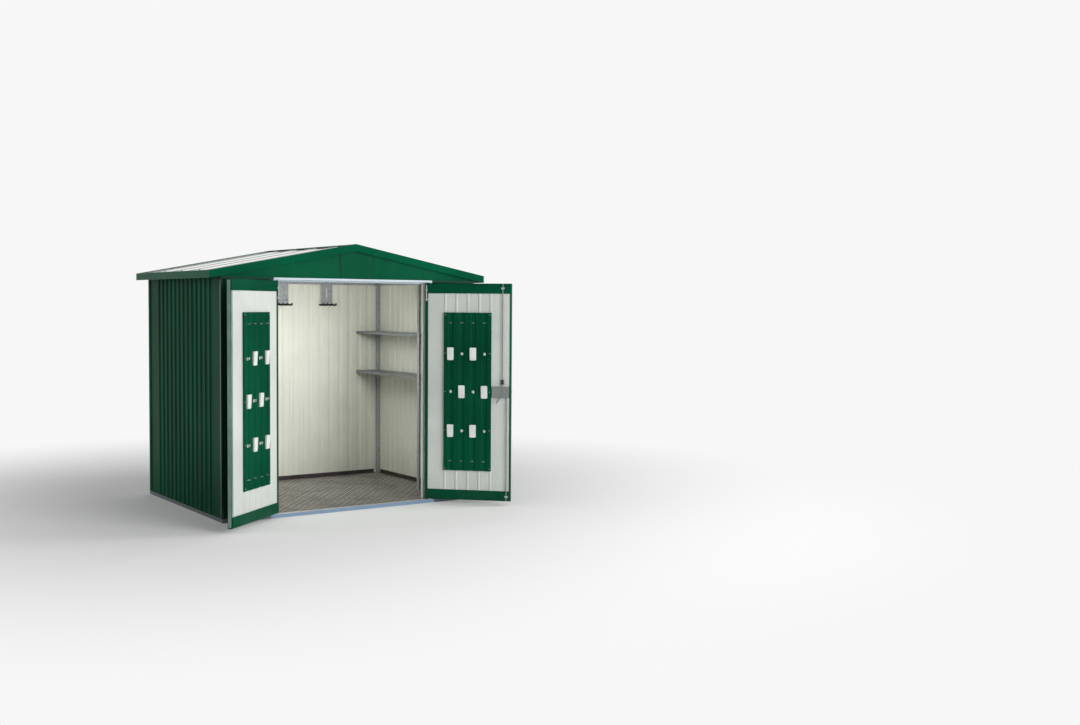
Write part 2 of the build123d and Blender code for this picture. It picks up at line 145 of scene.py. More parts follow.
def makeWorld():
    world = bpy.data.worlds.new("studio")
    bpy.context.scene.world = world
    world.use_nodes = True
    tree = world.node_tree
    tree.nodes.clear()
    glow = firstOutput(tree, "ShaderNodeBackground", {"Color": grey(studio["ambient"])})
    white = firstOutput(tree, "ShaderNodeBackground", {"Color": grey(studio["backTone"])})
    mix = firstOutput(tree, "ShaderNodeMixShader", {0: seenDirectly(tree), 1: glow, 2: white})
    addNode(tree, "ShaderNodeOutputWorld", {"Surface": mix})


def makeFloor():
    # pale near the object, and one with the backdrop further out
    reach = studio["floorReach"]
    corners = [(-reach, -reach, 0), (reach, -reach, 0), (reach, reach, 0), (-reach, reach, 0)]
    mesh = bpy.data.meshes.new("floor")
    mesh.from_pydata(corners, [], [(0, 1, 2, 3)])
    floor = bpy.data.objects.new("floor", mesh)
    bpy.context.scene.collection.objects.link(floor)
    material = bpy.data.materials.new("studioFloor")
    material.use_nodes = True
    tree = material.node_tree
    tree.nodes.clear()
    near = firstOutput(tree, "ShaderNodeBsdfDiffuse", {"Color": grey(studio["floorTone"])})
    away = firstOutput(tree, "ShaderNodeEmission", {"Color": grey(studio["backTone"]), "Strength": 1.0})
    place = addNode(tree, "ShaderNodeTexCoord").outputs["Object"]
    distance = addNode(tree, "ShaderNodeVectorMath", {0: place}, operation="LENGTH").outputs["Value"]
    fade = firstOutput(tree, "ShaderNodeMapRange", {
        "Value": distance, "From Min": studio["fadeFrom"], "From Max": studio["fadeTo"],
    }, interpolation_type="SMOOTHSTEP")
    share = product(tree, fade, seenDirectly(tree))
    mix = firstOutput(tree, "ShaderNodeMixShader", {0: share, 1: near, 2: away})
    addNode(tree, "ShaderNodeOutputMaterial", {"Surface": mix})
    mesh.materials.append(material)


def makeLamp(name, values):
    lamp = bpy.data.lights.new(name, "AREA")
    lamp.shape = "RECTANGLE"
    lamp.size, lamp.size_y = values["size"]
    lamp.energy = values["power"]
    holder = bpy.data.objects.new(name, lamp)
    holder.location = values["place"]
    holder.rotation_mode = "QUATERNION"
    aim = Vector(values.get("aim", studio["aim"]))
    holder.rotation_quaternion = (aim - Vector(values["place"])).to_track_quat("-Z", "Y")
    holder.visible_glossy = values["mirrored"]
    holder.visible_camera = False
    bpy.context.scene.collection.objects.link(holder)


makeCamera()
makeWorld()
makeFloor()
for lampName, lampValues in lamps.items():
    makeLamp(lampName, lampValues)
print("camera, floor and lamps are set")


# finishes

def shade(red, green, blue):
    # screen colour, 0 to 255, as Blender's linear one
    def linear(value):
        value /= 255.0
        return value / 12.92 if value <= 0.04045 else ((value + 0.055) / 1.055) ** 2.4
    return (linear(red), linear(green), linear(blue), 1.0)


def shaded(look):
    # a look's colours are the values of three numbers
    return {
        name: shade(*value) if isinstance(value, tuple) and len(value) == 3 else value
        for name, value in look.items()
    }


def newFinish(name):
    material = bpy.data.materials.new(name)
    material.use_nodes = True
    tree = material.node_tree
    return material, tree, tree.nodes["Principled BSDF"]


shaderSockets = {
    "colour": "Base Color", "rough": "Roughness", "normal": "Normal", "metal": "Metallic",
    "gloss": "Specular IOR Level", "coat": "Coat Weight", "coatRough": "Coat Roughness",
    "clear": "Transmission Weight",
}


def setShader(tree, shader, **values):
    for name, value in values.items():
        feed(tree, shader.inputs[shaderSockets[name]], value)


def objectPlace(tree, stretch=None):
    place = addNode(tree, "ShaderNodeTexCoord").outputs["Object"]
    if stretch is None:
        return place
    return firstOutput(tree, "ShaderNodeMapping", {"Vector": place, "Scale": stretch})


def noise(tree, place, scale, detail=3.0, roughness=0.55):
    return addNode(tree, "ShaderNodeTexNoise", {
        "Vector": place, "Scale": scale, "Detail": detail, "Roughness": roughness,
    }).outputs["Fac"]


def ranged(tree, value, low, high, newLow=0.0, newHigh=1.0):
    return firstOutput(tree, "ShaderNodeMapRange", {
        "Value": value, "From Min": low, "From Max": high, "To Min": newLow, "To Max": newHigh,
    })


def blended(tree, share, first, second):
    mix = addNode(tree, "ShaderNodeMix", data_type="RGBA")
    for number, value in ((0, share), (6, first), (7, second)):
        feed(tree, mix.inputs[number], value)
    return mix.outputs[2]


def bumped(tree, height, strength, distance, normal=None):
    sockets = {"Height": height, "Strength": strength, "Distance": distance}
    if normal is not None:
        sockets["Normal"] = normal
    return firstOutput(tree, "ShaderNodeBump", sockets)


def edgeMask(tree, radius):
    # near 1 on worn edges: a rounded normal that turns away from the real one
    rounded = firstOutput(tree, "ShaderNodeBevel", {"Radius": radius}, samples=4)
    flat = addNode(tree, "ShaderNodeNewGeometry").outputs["Normal"]
    turn = addNode(tree, "ShaderNodeVectorMath", {0: rounded, 1: flat}, operation="DOT_PRODUCT")
    return ranged(tree, turn.outputs["Value"], 0.985, 0.82)


def lowDust(tree, top, scale):
    # dust and splashes that thin out upwards from the ground
    height = addNode(tree, "ShaderNodeSeparateXYZ", {0: objectPlace(tree)}).outputs["Z"]
    patches = noise(tree, objectPlace(tree, (1.0, 1.0, 0.4)), scale, 5.0, 0.7)
    return product(tree, ranged(tree, height, 0.0, top, 1.0, 0.0), ranged(tree, patches, 0.38, 0.68))


paintShared = {
    "edge": (58, 132, 98), "toneScale": 1.3, "streakShare": 0.03, "streakRough": 0.1, "dustTop": 0.45,
    "dustShare": 0.25, "edgeWide": 0.003, "edgeShare": 0.35, "rough": 0.34, "wave": 0.08, "peel": 0.05,
    "gloss": 0.02, "coat": 0.0, "coatRough": 0.12,
}
paintLooks = {
    "greenPaint": {
        "dark": (2, 70, 46), "light": (3, 84, 56), "dusty": (96, 116, 100), "rough": 0.30, "wave": 0.10,
        "peel": 0.06, "gloss": 0.05,
    },
    # painted shade: the walls' paint is a darker copy of the gables' green, for the shade that falls on the
    # walls
    "shadedWallPaint": {"dark": (1, 58, 38), "light": (2, 72, 48), "dusty": (70, 96, 80), "edgeShare": 0.3},
    # painted shade: the leaves' paint is a darker copy of the same green, for the shade on the doors
    "shadedDoorPaint": {
        "dark": (1, 60, 40), "light": (2, 74, 50), "dusty": (84, 104, 90), "dustTop": 0.25, "dustShare": 0.2,
        "rough": 0.28, "gloss": 0.03,
    },
    # painted shade: the front panels' paint is the darkest copy of the same green, for the deep shade beside
    # the doorway
    "shadedPanelPaint": {
        "dark": (1, 46, 31), "light": (2, 58, 40), "dusty": (60, 80, 68), "edge": (84, 112, 98),
        "streakShare": 0.02, "dustTop": 0.3, "dustShare": 0.15, "edgeWide": 0.002, "edgeShare": 0.5,
        "gloss": 0.01,
    },
    "roofPaint": {
        "dark": (4, 84, 56), "light": (8, 98, 66), "dusty": (130, 146, 136), "edge": (90, 160, 130),
        "streakShare": 0.02, "streakRough": 0.02, "dustTop": 0.1, "dustShare": 0.0, "rough": 0.12,
        "wave": 0.004, "peel": 0.0, "gloss": 0.7, "coat": 0.9, "coatRough": 0.03,
    },
    "trimPaint": {
        "dark": (3, 72, 48), "light": (5, 86, 58), "dusty": (112, 128, 112), "edge": (70, 148, 112),
        "streakShare": 0.0, "streakRough": 0.0, "dustTop": 0.1, "dustShare": 0.0, "edgeShare": 0.4,
        "rough": 0.30, "wave": 0.04, "peel": 0.04, "gloss": 0.03,
    },
    "creamPaint": {
        "dark": (188, 194, 188), "light": (202, 207, 201), "dusty": (150, 148, 138), "edge": (232, 234, 230),
        "toneScale": 1.7, "streakShare": 0.06, "dustTop": 0.30, "dustShare": 0.30, "edgeWide": 0.002,
        "edgeShare": 0.4, "rough": 0.42, "gloss": 0.30,
    },
    "liningPaint": {
        "dark": (222, 224, 212), "light": (234, 236, 225), "dusty": (168, 164, 146), "edge": (240, 241, 234),
        "toneScale": 1.7, "streakShare": 0.06, "dustTop": 0.30, "edgeWide": 0.002, "edgeShare": 0.4,
        "rough": 0.46, "gloss": 0.20,
    },
}


def paintedSteel(name, look):
    # cloudy tone, rain streaks, dust near the ground and worn edges
    material, tree, shader = newFinish(name)
    place = objectPlace(tree)
    tone = ranged(tree, noise(tree, place, look["toneScale"], 4.0), 0.35, 0.65)
    streaks = ranged(tree, noise(tree, objectPlace(tree, (28.0, 28.0, 1.1)), 1.0, 5.0, 0.65), 0.42, 0.72)
    colour = blended(tree, tone, look["dark"], look["light"])
    colour = blended(tree, product(tree, streaks, look["streakShare"]), colour, look["dusty"])
    dust = product(tree, lowDust(tree, look["dustTop"], 7.0), look["dustShare"])
    colour = blended(tree, dust, colour, look["dusty"])
    chips = ranged(tree, noise(tree, place, 55.0), 0.42, 0.6, 0.15, 1.0)
    edge = product(tree, edgeMask(tree, look["edgeWide"]), chips)
    colour = blended(tree, product(tree, edge, look["edgeShare"]), colour, look["edge"])
    rough = total(tree, look["rough"], product(tree, streaks, look["streakRough"]))
    rough = total(tree, rough, product(tree, dust, 0.5))
    wave = bumped(tree, noise(tree, place, 2.6, 2.0), look["wave"], 0.012)
    peel = bumped(tree, noise(tree, place, 420.0, 2.0), look["peel"], 0.0006, wave)
    setShader(
        tree, shader, colour=colour, rough=rough, normal=peel, gloss=look["gloss"], coat=look["coat"],
        coatRough=look["coatRough"],
    )
    return material


zincShared = {"cloudShare": 0.3, "spangle": 90.0, "rough": (0.40, 0.52)}
zincLooks = {
    "zinc": {"dark": (158, 161, 167), "light": (194, 197, 203), "cloud": (208, 211, 213), "metal": 0.4},
    "shelfZinc": {"dark": (112, 116, 120), "light": (142, 146, 150), "cloud": (150, 152, 152), "metal": 0.35},
    "steelHead": {
        "dark": (160, 164, 170), "light": (200, 204, 210), "cloud": (150, 140, 128), "cloudShare": 0.25,
        "spangle": 300.0, "rough": (0.28, 0.42), "metal": 0.95,
    },
    "rodSteel": {
        "dark": (122, 126, 122), "light": (150, 154, 150), "cloud": (116, 112, 102), "spangle": 400.0,
        "rough": (0.34, 0.46), "metal": 0.3,
    },
    "castZinc": {
        "dark": (122, 127, 142), "light": (158, 163, 180), "cloud": (98, 100, 110), "cloudShare": 0.2,
        "spangle": 700.0, "rough": (0.30, 0.40), "metal": 0.8,
    },
}


def spangledZinc(name, look):
    # zinc crystals of uneven grey under a thin cloud
    material, tree, shader = newFinish(name)
    place = objectPlace(tree)
    crystals = addNode(tree, "ShaderNodeTexVoronoi", {"Vector": place, "Scale": look["spangle"]})
    facet = firstOutput(tree, "ShaderNodeSeparateColor", {0: crystals.outputs["Color"]})
    cloud = ranged(tree, noise(tree, place, 6.0, 5.0, 0.6), 0.35, 0.7)
    colour = blended(tree, facet, look["dark"], look["light"])
    colour = blended(tree, product(tree, cloud, look["cloudShare"]), colour, look["cloud"])
    colour = blended(tree, product(tree, edgeMask(tree, 0.0015), 0.5), colour, look["light"])
    rough = total(tree, ranged(tree, facet, 0.0, 1.0, *look["rough"]), product(tree, cloud, 0.12))
    fine = bumped(tree, noise(tree, place, 160.0, 2.0), 0.10, 0.0006)
    setShader(tree, shader, colour=colour, rough=rough, normal=fine, metal=look["metal"])
    return material


aluminiumShared = {"metal": 0.3}
aluminiumLooks = {
    "aluminium": {
        "dark": (176, 190, 202), "light": (212, 222, 228), "smudge": (168, 178, 184), "covered": (1, 48, 32),
        "coveredShare": 1.0, "span": 0.688, "rear": -0.70,
    },
    # partly wear, partly painted light: the sill's top faces are made paler, as lit from above
    "sillAluminium": {
        "dark": (108, 132, 158), "light": (142, 164, 188), "smudge": (116, 128, 140), "wornAndLitTop": (214, 216, 216),
        "covered": (74, 80, 76), "coveredShare": 0.85, "span": 0.715, "rear": -0.83,
    },
    "brushedSteel": {
        "dark": (112, 118, 112), "light": (140, 146, 140), "smudge": (96, 100, 94), "metal": 0.5,
    },
}


def drawnAluminium(name, look):
    # fine lines along the profile, smudged
    material, tree, shader = newFinish(name)
    lines = noise(tree, objectPlace(tree, (1.5, 420.0, 420.0)), 1.0, 4.0, 0.7)
    smudge = ranged(tree, noise(tree, objectPlace(tree), 9.0, 5.0, 0.65), 0.4, 0.7)
    colour = blended(tree, lines, look["dark"], look["light"])
    colour = blended(tree, product(tree, smudge, 0.25), colour, look["smudge"])
    # partly wear, partly painted light: faces that turn up are made paler, as lit from above
    if "wornAndLitTop" in look:
        facing = addNode(tree, "ShaderNodeNewGeometry").outputs["Normal"]
        upward = addNode(tree, "ShaderNodeSeparateXYZ", {0: facing}).outputs["Z"]
        colour = blended(tree, ranged(tree, upward, 0.5, 0.9, 0.0, 0.9), colour, look["wornAndLitTop"])
    if "covered" in look:
        # bare metal in the doorway only: beside it paint or dirt covers the profile
        parts = addNode(tree, "ShaderNodeSeparateXYZ", {0: objectPlace(tree)}).outputs
        across = reckoned(tree, "ABSOLUTE", parts["X"])
        beside = ranged(tree, across, look["span"], look["span"] + 0.004)
        behind = ranged(tree, parts["Y"], look["rear"], look["rear"] + 0.03)
        share = product(tree, reckoned(tree, "MAXIMUM", beside, behind), look["coveredShare"])
        colour = blended(tree, share, colour, look["covered"])
    rough = total(tree, ranged(tree, lines, 0.3, 0.7, 0.26, 0.38), product(tree, smudge, 0.12))
    fine = bumped(tree, lines, 0.12, 0.0004)
    setShader(tree, shader, colour=colour, rough=rough, normal=fine, metal=look["metal"])
    return material


floorLooks = {
    "treadSteel": {
        "dark": (20, 16, 15), "light": (38, 32, 30), "soil": (22, 17, 14), "scuff": (80, 78, 78),
        "rough": (0.30, 0.46), "metal": 0.15, "gloss": 0.12,
    },
    # partly wear, partly a painted glint: the bars are light in colour so that they look bright like glinting
    # metal
    "treadWearAndGlint": {
        "dark": (190, 184, 178), "light": (232, 228, 224), "soil": (124, 108, 96), "scuff": (236, 235, 234),
        "rough": (0.22, 0.34), "metal": 0.3, "gloss": 0.4,
    },
    # painted shade: a dark copy of galvanised steel, for the foot rails seen in shadow
    "shadedFootSteel": {
        "dark": (72, 62, 64), "light": (96, 86, 88), "soil": (60, 50, 46), "scuff": (130, 122, 120),
        "rough": (0.40, 0.55), "metal": 0.4, "gloss": 0.3,
    },
}


def floorSteel(name, look):
    # stained and gritty steel, scuffed along its length and at its edges
    material, tree, shader = newFinish(name)
    place = objectPlace(tree)
    stain = ranged(tree, noise(tree, place, 3.2, 6.0, 0.62), 0.35, 0.68)
    grit = ranged(tree, noise(tree, place, 120.0), 0.4, 0.65)
    scuff = ranged(tree, noise(tree, objectPlace(tree, (5.0, 60.0, 1.0)), 1.0, 4.0, 0.7), 0.60, 0.72)
    colour = blended(tree, stain, look["dark"], look["light"])
    colour = blended(tree, product(tree, grit, 0.25), colour, look["soil"])
    colour = blended(tree, product(tree, scuff, 0.35), colour, look["scuff"])
    colour = blended(tree, product(tree, edgeMask(tree, 0.0012), 0.55), colour, look["scuff"])
    rough = total(tree, ranged(tree, stain, 0.0, 1.0, *look["rough"]), product(tree, grit, 0.08))
    fine = bumped(tree, noise(tree, place, 240.0), 0.15, 0.0008)
    setShader(tree, shader, colour=colour, rough=rough, normal=fine, metal=look["metal"], gloss=look["gloss"])
    return material


plasticShared = {"toneScale": 20.0, "edgeShare": 0.4, "grain": 600.0, "grainDeep": 0.06, "clear": 0.0}
plasticLooks = {
    "whitePlastic": {
        "dark": (208, 212, 206), "light": (224, 227, 222), "edge": (238, 240, 236), "toneScale": 14.0,
        "rough": (0.30, 0.42), "grain": 500.0,
    },
    "pegPlastic": {
        "dark": (168, 176, 168), "light": (192, 198, 190), "edge": (214, 218, 212), "rough": (0.24, 0.34),
    },
    "clearPlastic": {
        "dark": (150, 172, 158), "light": (176, 194, 182), "edge": (214, 224, 216), "rough": (0.14, 0.22),
        "grainDeep": 0.05, "clear": 0.7,
    },
    "blackPlastic": {
        "dark": (26, 27, 29), "light": (38, 39, 42), "edge": (84, 86, 90), "rough": (0.36, 0.5),
        "grain": 900.0, "grainDeep": 0.15,
    },
    "paintedHead": {
        "dark": (12, 78, 50), "light": (20, 96, 64), "edge": (120, 150, 134), "edgeShare": 0.5,
        "toneScale": 8.0, "rough": (0.34, 0.46), "grain": 700.0, "grainDeep": 0.08,
    },
    # painted reflection: a pale copy of the leaves' green, for the bright sheen on the left leaf's free edge
    "sheenPaleGreen": {
        "dark": (96, 120, 108), "light": (120, 142, 132), "edge": (166, 182, 174), "edgeShare": 0.3,
        "toneScale": 6.0, "rough": (0.42, 0.55), "grainDeep": 0.08,
    },
    # painted shade: the corner beads' paint is a dark copy of the same green, for the shade in the front
    # corners
    "shadedBeadPaint": {
        "dark": (4, 42, 29), "light": (8, 54, 38), "edge": (40, 84, 66), "edgeShare": 0.2,
        "toneScale": 5.0, "rough": (0.28, 0.36), "grainDeep": 0.05,
    },
    "rubber": {
        "dark": (22, 22, 23), "light": (34, 34, 35), "edge": (60, 60, 62), "edgeShare": 0.3,
        "toneScale": 12.0, "rough": (0.62, 0.78), "grain": 700.0, "grainDeep": 0.2,
    },
}


def mouldedPlastic(name, look):
    # soft change of tone, fine grain and paler edges
    material, tree, shader = newFinish(name)
    place = objectPlace(tree)
    tone = ranged(tree, noise(tree, place, look["toneScale"]), 0.35, 0.65)
    colour = blended(tree, tone, look["dark"], look["light"])
    colour = blended(tree, product(tree, edgeMask(tree, 0.001), look["edgeShare"]), colour, look["edge"])
    rough = ranged(tree, noise(tree, place, 35.0, 4.0), 0.3, 0.7, *look["rough"])
    fine = bumped(tree, noise(tree, place, look["grain"], 2.0), look["grainDeep"], 0.0004)
    setShader(tree, shader, colour=colour, rough=rough, normal=fine, clear=look["clear"])
    return material


# every finish by its name
finishes = {}
for makeFinish, shared, looks in (
    (paintedSteel, paintShared, paintLooks), (spangledZinc, zincShared, zincLooks),
    (drawnAluminium, aluminiumShared, aluminiumLooks), (floorSteel, {}, floorLooks),
    (mouldedPlastic, plasticShared, plasticLooks),
):
    for name, look in looks.items():
        finishes[name] = makeFinish(name, shaded({**shared, **look}))
print("finishes made:", len(finishes))


def ride(piece, body, node=None):
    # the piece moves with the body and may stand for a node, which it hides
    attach(piece, body)
    if node:
        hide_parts(node)


# Geometry Nodes helpers

socketKinds = {
    "number": "NodeSocketFloat", "count": "NodeSocketInt", "vector": "NodeSocketVector",
    "finish": "NodeSocketMaterial",
}


def newTree(name, inputs):
    tree = bpy.data.node_groups.new(name, "GeometryNodeTree")
    tree.interface.new_socket("Geometry", in_out="INPUT", socket_type="NodeSocketGeometry")
    for label, kind in inputs.items():
        tree.interface.new_socket(label, in_out="INPUT", socket_type=socketKinds[kind])
    tree.interface.new_socket("Geometry", in_out="OUTPUT", socket_type="NodeSocketGeometry")
    return tree, tree.nodes.new("NodeGroupInput").outputs


def closeTree(tree, geometry, finish):
    real = firstOutput(tree, "GeometryNodeRealizeInstances", {"Geometry": geometry})
    return firstOutput(tree, "GeometryNodeSetMaterial", {"Geometry": real, "Material": finish})


def endTree(tree, geometry):
    tree.links.new(geometry, tree.nodes.new("NodeGroupOutput").inputs[0])
    return tree


def joined(tree, *parts):
    join = tree.nodes.new("GeometryNodeJoinGeometry")
    for part in reversed(parts):
        tree.links.new(part, join.inputs[0])
    return join.outputs[0]


def raised(tree, geometry, rise):
    lift = firstOutput(tree, "ShaderNodeCombineXYZ", {2: rise})
    return firstOutput(tree, "GeometryNodeTransform", {"Geometry": geometry, "Translation": lift})


def grow(name, tree, values, seed):
    # run the tree on a seed mesh and keep the plain result
    piece = bpy.data.objects.new(name, seed)
    bpy.context.scene.collection.objects.link(piece)
    modifier = piece.modifiers.new(tree.name, "NODES")
    modifier.node_group = tree
    for item in tree.interface.items_tree:
        if item.in_out == "INPUT" and item.name in values:
            modifier[item.identifier] = values[item.name]
    evaluated = piece.evaluated_get(bpy.context.evaluated_depsgraph_get())
    plain = bpy.data.meshes.new_from_object(evaluated)
    piece.modifiers.clear()
    filled = [material for material in plain.materials if material]
    slots = [filled.index(material) if material else 0 for material in plain.materials]
    indices = [slots[face.material_index] for face in plain.polygons]
    plain.materials.clear()
    for material in filled:
        plain.materials.append(material)
    plain.polygons.foreach_set("material_index", indices)
    piece.data = plain
    return piece


def placeMesh(piece, matrix):
    if matrix is None:
        return
    piece.data.transform(matrix)
    if matrix.determinant() < 0:
        piece.data.flip_normals()


def evenNormals(piece):
    piece.modifiers.new("evenNormals", "WEIGHTED_NORMAL").keep_sharp = True


def loopMesh(name, points):
    mesh = bpy.data.meshes.new(name)
    count = len(points)
    mesh.from_pydata([(x, y, 0.0) for x, y in points], [(i, (i + 1) % count) for i in range(count)], [])
    return mesh


def spotMesh(name, spots):
    # one vertex for each spot, with the way that its head faces
    mesh = bpy.data.meshes.new(name)
    mesh.from_pydata([place for place, facing in spots], [], [])
    facings = mesh.attributes.new("facing", "FLOAT_VECTOR", "POINT")
    facings.data.foreach_set("vector", [part for place, facing in spots for part in facing])
    return mesh


# the shed's main sizes and its leaves

shedSet = {
    "halfWide": 1.1, "halfDeep": 0.84, "frontHalf": 1.0985, "floorTop": 0.028, "apex": 2.11, "roofRise": 0.23,
    "roofHalf": 1.195, "roofDeep": 0.86, "hangers": (0.11, 0.548),
}
leafSet = {
    "pivotX": 0.686, "pivotY": -0.845, "tail": 0.041, "leftOpen": -140.0, "rightOpen": 133.75, "wide": 0.724,
    "half": 0.016, "boardFace": 0.0315, "capFace": 0.0215,
}
slope = shedSet["roofRise"] / shedSet["roofHalf"]
mirror = Matrix.Scale(-1.0, 4, (1.0, 0.0, 0.0))


def ridgeAt(x):
    return shedSet["apex"] - slope * abs(x)


def leafPlace(side):
    # where a piece of the closed leaf stands in the opened one
    x, y = side * leafSet["pivotX"], leafSet["pivotY"]
    closed = Matrix.Translation((-leafSet["pivotX"] - leafSet["tail"], y, 0.0))
    turn = leafSet["leftOpen"]
    if side > 0:
        closed = mirror @ closed
        turn = leafSet["rightOpen"]
    opened = Matrix.Translation((x, y, 0.0)) @ Matrix.Rotation(math.radians(turn), 4, "Z")
    return opened @ Matrix.Translation((-x, -y, 0.0)) @ closed


leaves = (("left", "left_leaf", leafPlace(-1)), ("right", "right_leaf", leafPlace(1)))


# roll-formed sheets

sheetSet = {
    "thick": 0.0015, "foldRadius": 0.0028, "ribHigh": 0.008, "ribBase": 0.044, "ribFlat": 0.026,
    "ribPitch": 0.098, "crisp": 40.0, "weld": 0.00001, "innerFrom": -0.05,
}
unturned = (0.0, 0.0, 0.0)
upTurn = (math.pi / 2, 0.0, math.pi / 2)
frontTurn = (math.pi / 2, 0.0, 0.0)


def sheetBender():
    # an outline gets round corners, is run out to a solid and laid in place
    tree, given = newTree("sheetBender", {
        "Fold Radius": "number", "Fold Steps": "count", "Run": "vector", "Turn": "vector", "Place": "vector",
        "Outside": "vector", "Outer Finish": "finish", "Inner Finish": "finish",
    })
    curve = firstOutput(tree, "GeometryNodeMeshToCurve", {"Mesh": given["Geometry"]})
    rounded = firstOutput(tree, "GeometryNodeFilletCurve", {
        "Curve": curve, "Count": given["Fold Steps"], "Radius": given["Fold Radius"], "Limit Radius": True,
    }, mode="POLY")
    face = firstOutput(tree, "GeometryNodeFillCurve", {"Curve": rounded}, mode="NGONS")
    run = firstOutput(tree, "GeometryNodeExtrudeMesh", {
        "Mesh": face, "Offset": given["Run"], "Individual": False,
    }, mode="FACES")
    both = joined(tree, run, firstOutput(tree, "GeometryNodeFlipFaces", {"Mesh": face}))
    solid = firstOutput(tree, "GeometryNodeMergeByDistance", {"Geometry": both, "Distance": sheetSet["weld"]})
    smooth = firstOutput(tree, "GeometryNodeSetShadeSmooth", {"Geometry": solid})
    angle = addNode(tree, "GeometryNodeInputMeshEdgeAngle").outputs["Unsigned Angle"]
    sharp = firstOutput(tree, "FunctionNodeCompare", {
        0: angle, 1: math.radians(sheetSet["crisp"]),
    }, operation="GREATER_THAN")
    crisp = firstOutput(tree, "GeometryNodeSetShadeSmooth", {
        "Geometry": smooth, "Selection": sharp, "Shade Smooth": False,
    }, domain="EDGE")
    placed = firstOutput(tree, "GeometryNodeTransform", {
        "Geometry": crisp, "Translation": given["Place"], "Rotation": given["Turn"],
    })
    outer = closeTree(tree, placed, given["Outer Finish"])
    normal = firstOutput(tree, "GeometryNodeInputNormal")
    facing = addNode(tree, "ShaderNodeVectorMath", {0: normal, 1: given["Outside"]}, operation="DOT_PRODUCT")
    inside = firstOutput(tree, "FunctionNodeCompare", {
        0: facing.outputs["Value"], 1: sheetSet["innerFrom"],
    }, operation="LESS_THAN")
    return endTree(tree, firstOutput(tree, "GeometryNodeSetMaterial", {
        "Geometry": outer, "Selection": inside, "Material": given["Inner Finish"],
    }))


bender = sheetBender()


def folded(
    name, body, outline, run, place, finish, turn=unturned, bend=0.0008, steps=3, outside=(0.0, 0.0, 1.0),
    matrix=None, even=True, node=None,
):
    # finish is the outer one, or a pair with the one of the inner side
    outer, inner = finish if isinstance(finish, tuple) else (finish, finish)
    piece = grow(name, bender, {
        "Fold Radius": bend, "Fold Steps": steps, "Run": run, "Turn": turn, "Place": place,
        "Outside": outside, "Outer Finish": finishes[outer], "Inner Finish": finishes[inner],
    }, loopMesh(name, outline))
    placeMesh(piece, matrix)
    if even:
        evenNormals(piece)
    ride(piece, body, node)


def stood(name, body, outline, heights, finish, **rest):
    # the outline runs up between two heights
    low, top = heights
    folded(name, body, outline, (0.0, 0.0, top - low), (0.0, 0.0, low), finish, **rest)


def foldSheet(node, body, outline, run, place, outside, finish, turn=unturned, matrix=None):
    folded(
        node + "_sheet", body, outline, run, place, finish, turn, sheetSet["foldRadius"], outside=outside,
        matrix=matrix, node=node,
    )


def standSheet(node, outline, outside, finish):
    low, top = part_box(node)
    foldSheet(node, "shed", outline, (0.0, 0.0, top.z - low.z), (0.0, 0.0, low.z), outside, finish)


def spread(count, pitch):
    return [(i - (count - 1) / 2) * pitch for i in range(count)]


def ribLine(start, end, centres, high, lap=0.0, base=sheetSet["ribBase"], flat=sheetSet["ribFlat"]):
    line = [(start, 0.0)]
    if lap > 0:
        line = [(start, high), (start + lap, high), (start + lap + abs(high), 0.0)]
    for c in centres:
        line += [(c - base / 2, 0.0), (c - flat / 2, high), (c + flat / 2, high), (c + base / 2, 0.0)]
    if lap > 0:
        line += [(end - lap - abs(high), 0.0), (end - lap, high), (end, high)]
    else:
        line.append((end, 0.0))
    return line


def creased(line, crease):
    # a fine groove half way along each flat between two ribs
    wide, deep, least, most = crease
    result = []
    for first, second in zip(line, line[1:]):
        result.append(first)
        if first[1] == second[1] == 0.0 and least < second[0] - first[0] < most:
            middle = (first[0] + second[0]) / 2
            result += [(middle - wide / 2, 0.0), (middle, -deep), (middle + wide / 2, 0.0)]
    return result + [line[-1]]


def backed(line):
    return line + [(s, d - sheetSet["thick"]) for s, d in reversed(line)]


# the walls take the darker copy of the green: painted shade
wallSet = {"sideRibs": 13, "backRibs": 21, "lap": 0.034, "finish": ("shadedWallPaint", "liningPaint")}


def makeWalls():
    given, high = wallSet, sheetSet["ribHigh"]

    def wallLine(start, end, count):
        return backed(ribLine(start, end, spread(count, sheetSet["ribPitch"]), high, given["lap"]))

    for side, node in ((-1, "left_wall"), (1, "right_wall")):
        low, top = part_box(node)
        line = wallLine(low.y, top.y, given["sideRibs"])
        outline = [(side * (shedSet["halfWide"] - high + d), s) for s, d in line]
        standSheet(node, outline, (side, 0.0, 0.0), given["finish"])
    low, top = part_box("back_wall")
    outline = [(s, shedSet["halfDeep"] - high + d) for s, d in wallLine(low.x, top.x, given["backRibs"])]
    standSheet("back_wall", outline, (0.0, 1.0, 0.0), given["finish"])


panelSet = {
    "openHalf": 0.736, "grooveInset": 0.047, "grooveWide": 0.018, "grooveDeep": 0.006, "jambDeep": 0.06,
    "jambLip": 0.02,
}


def makePanels():
    # the front beside the doorway, with a groove and a return that ends in a lip
    given, thick = panelSet, sheetSet["thick"]
    inner, front, deep = given["openHalf"], -shedSet["halfDeep"], given["grooveDeep"]
    back, lip = front + given["jambDeep"], inner + given["jambLip"]
    groove = [shedSet["halfWide"] - given["grooveInset"]]
    wide = given["grooveWide"]
    face = ribLine(inner, shedSet["frontHalf"], groove, -deep, base=wide, flat=wide - deep)
    outline = [(lip, back), (inner, back)] + [(s, front - d) for s, d in face]
    outline += [(s, front + thick - d) for s, d in reversed(face[1:])]
    outline += [(inner + thick, front + thick), (inner + thick, back - thick), (lip, back - thick)]
    # the panels take the darkest copy of the green: painted shade
    for side, node in ((-1, "front_left_panel"), (1, "front_right_panel")):
        standSheet(node, [(side * x, y) for x, y in outline], (0.0, -1.0, 0.0), "shadedPanelPaint")


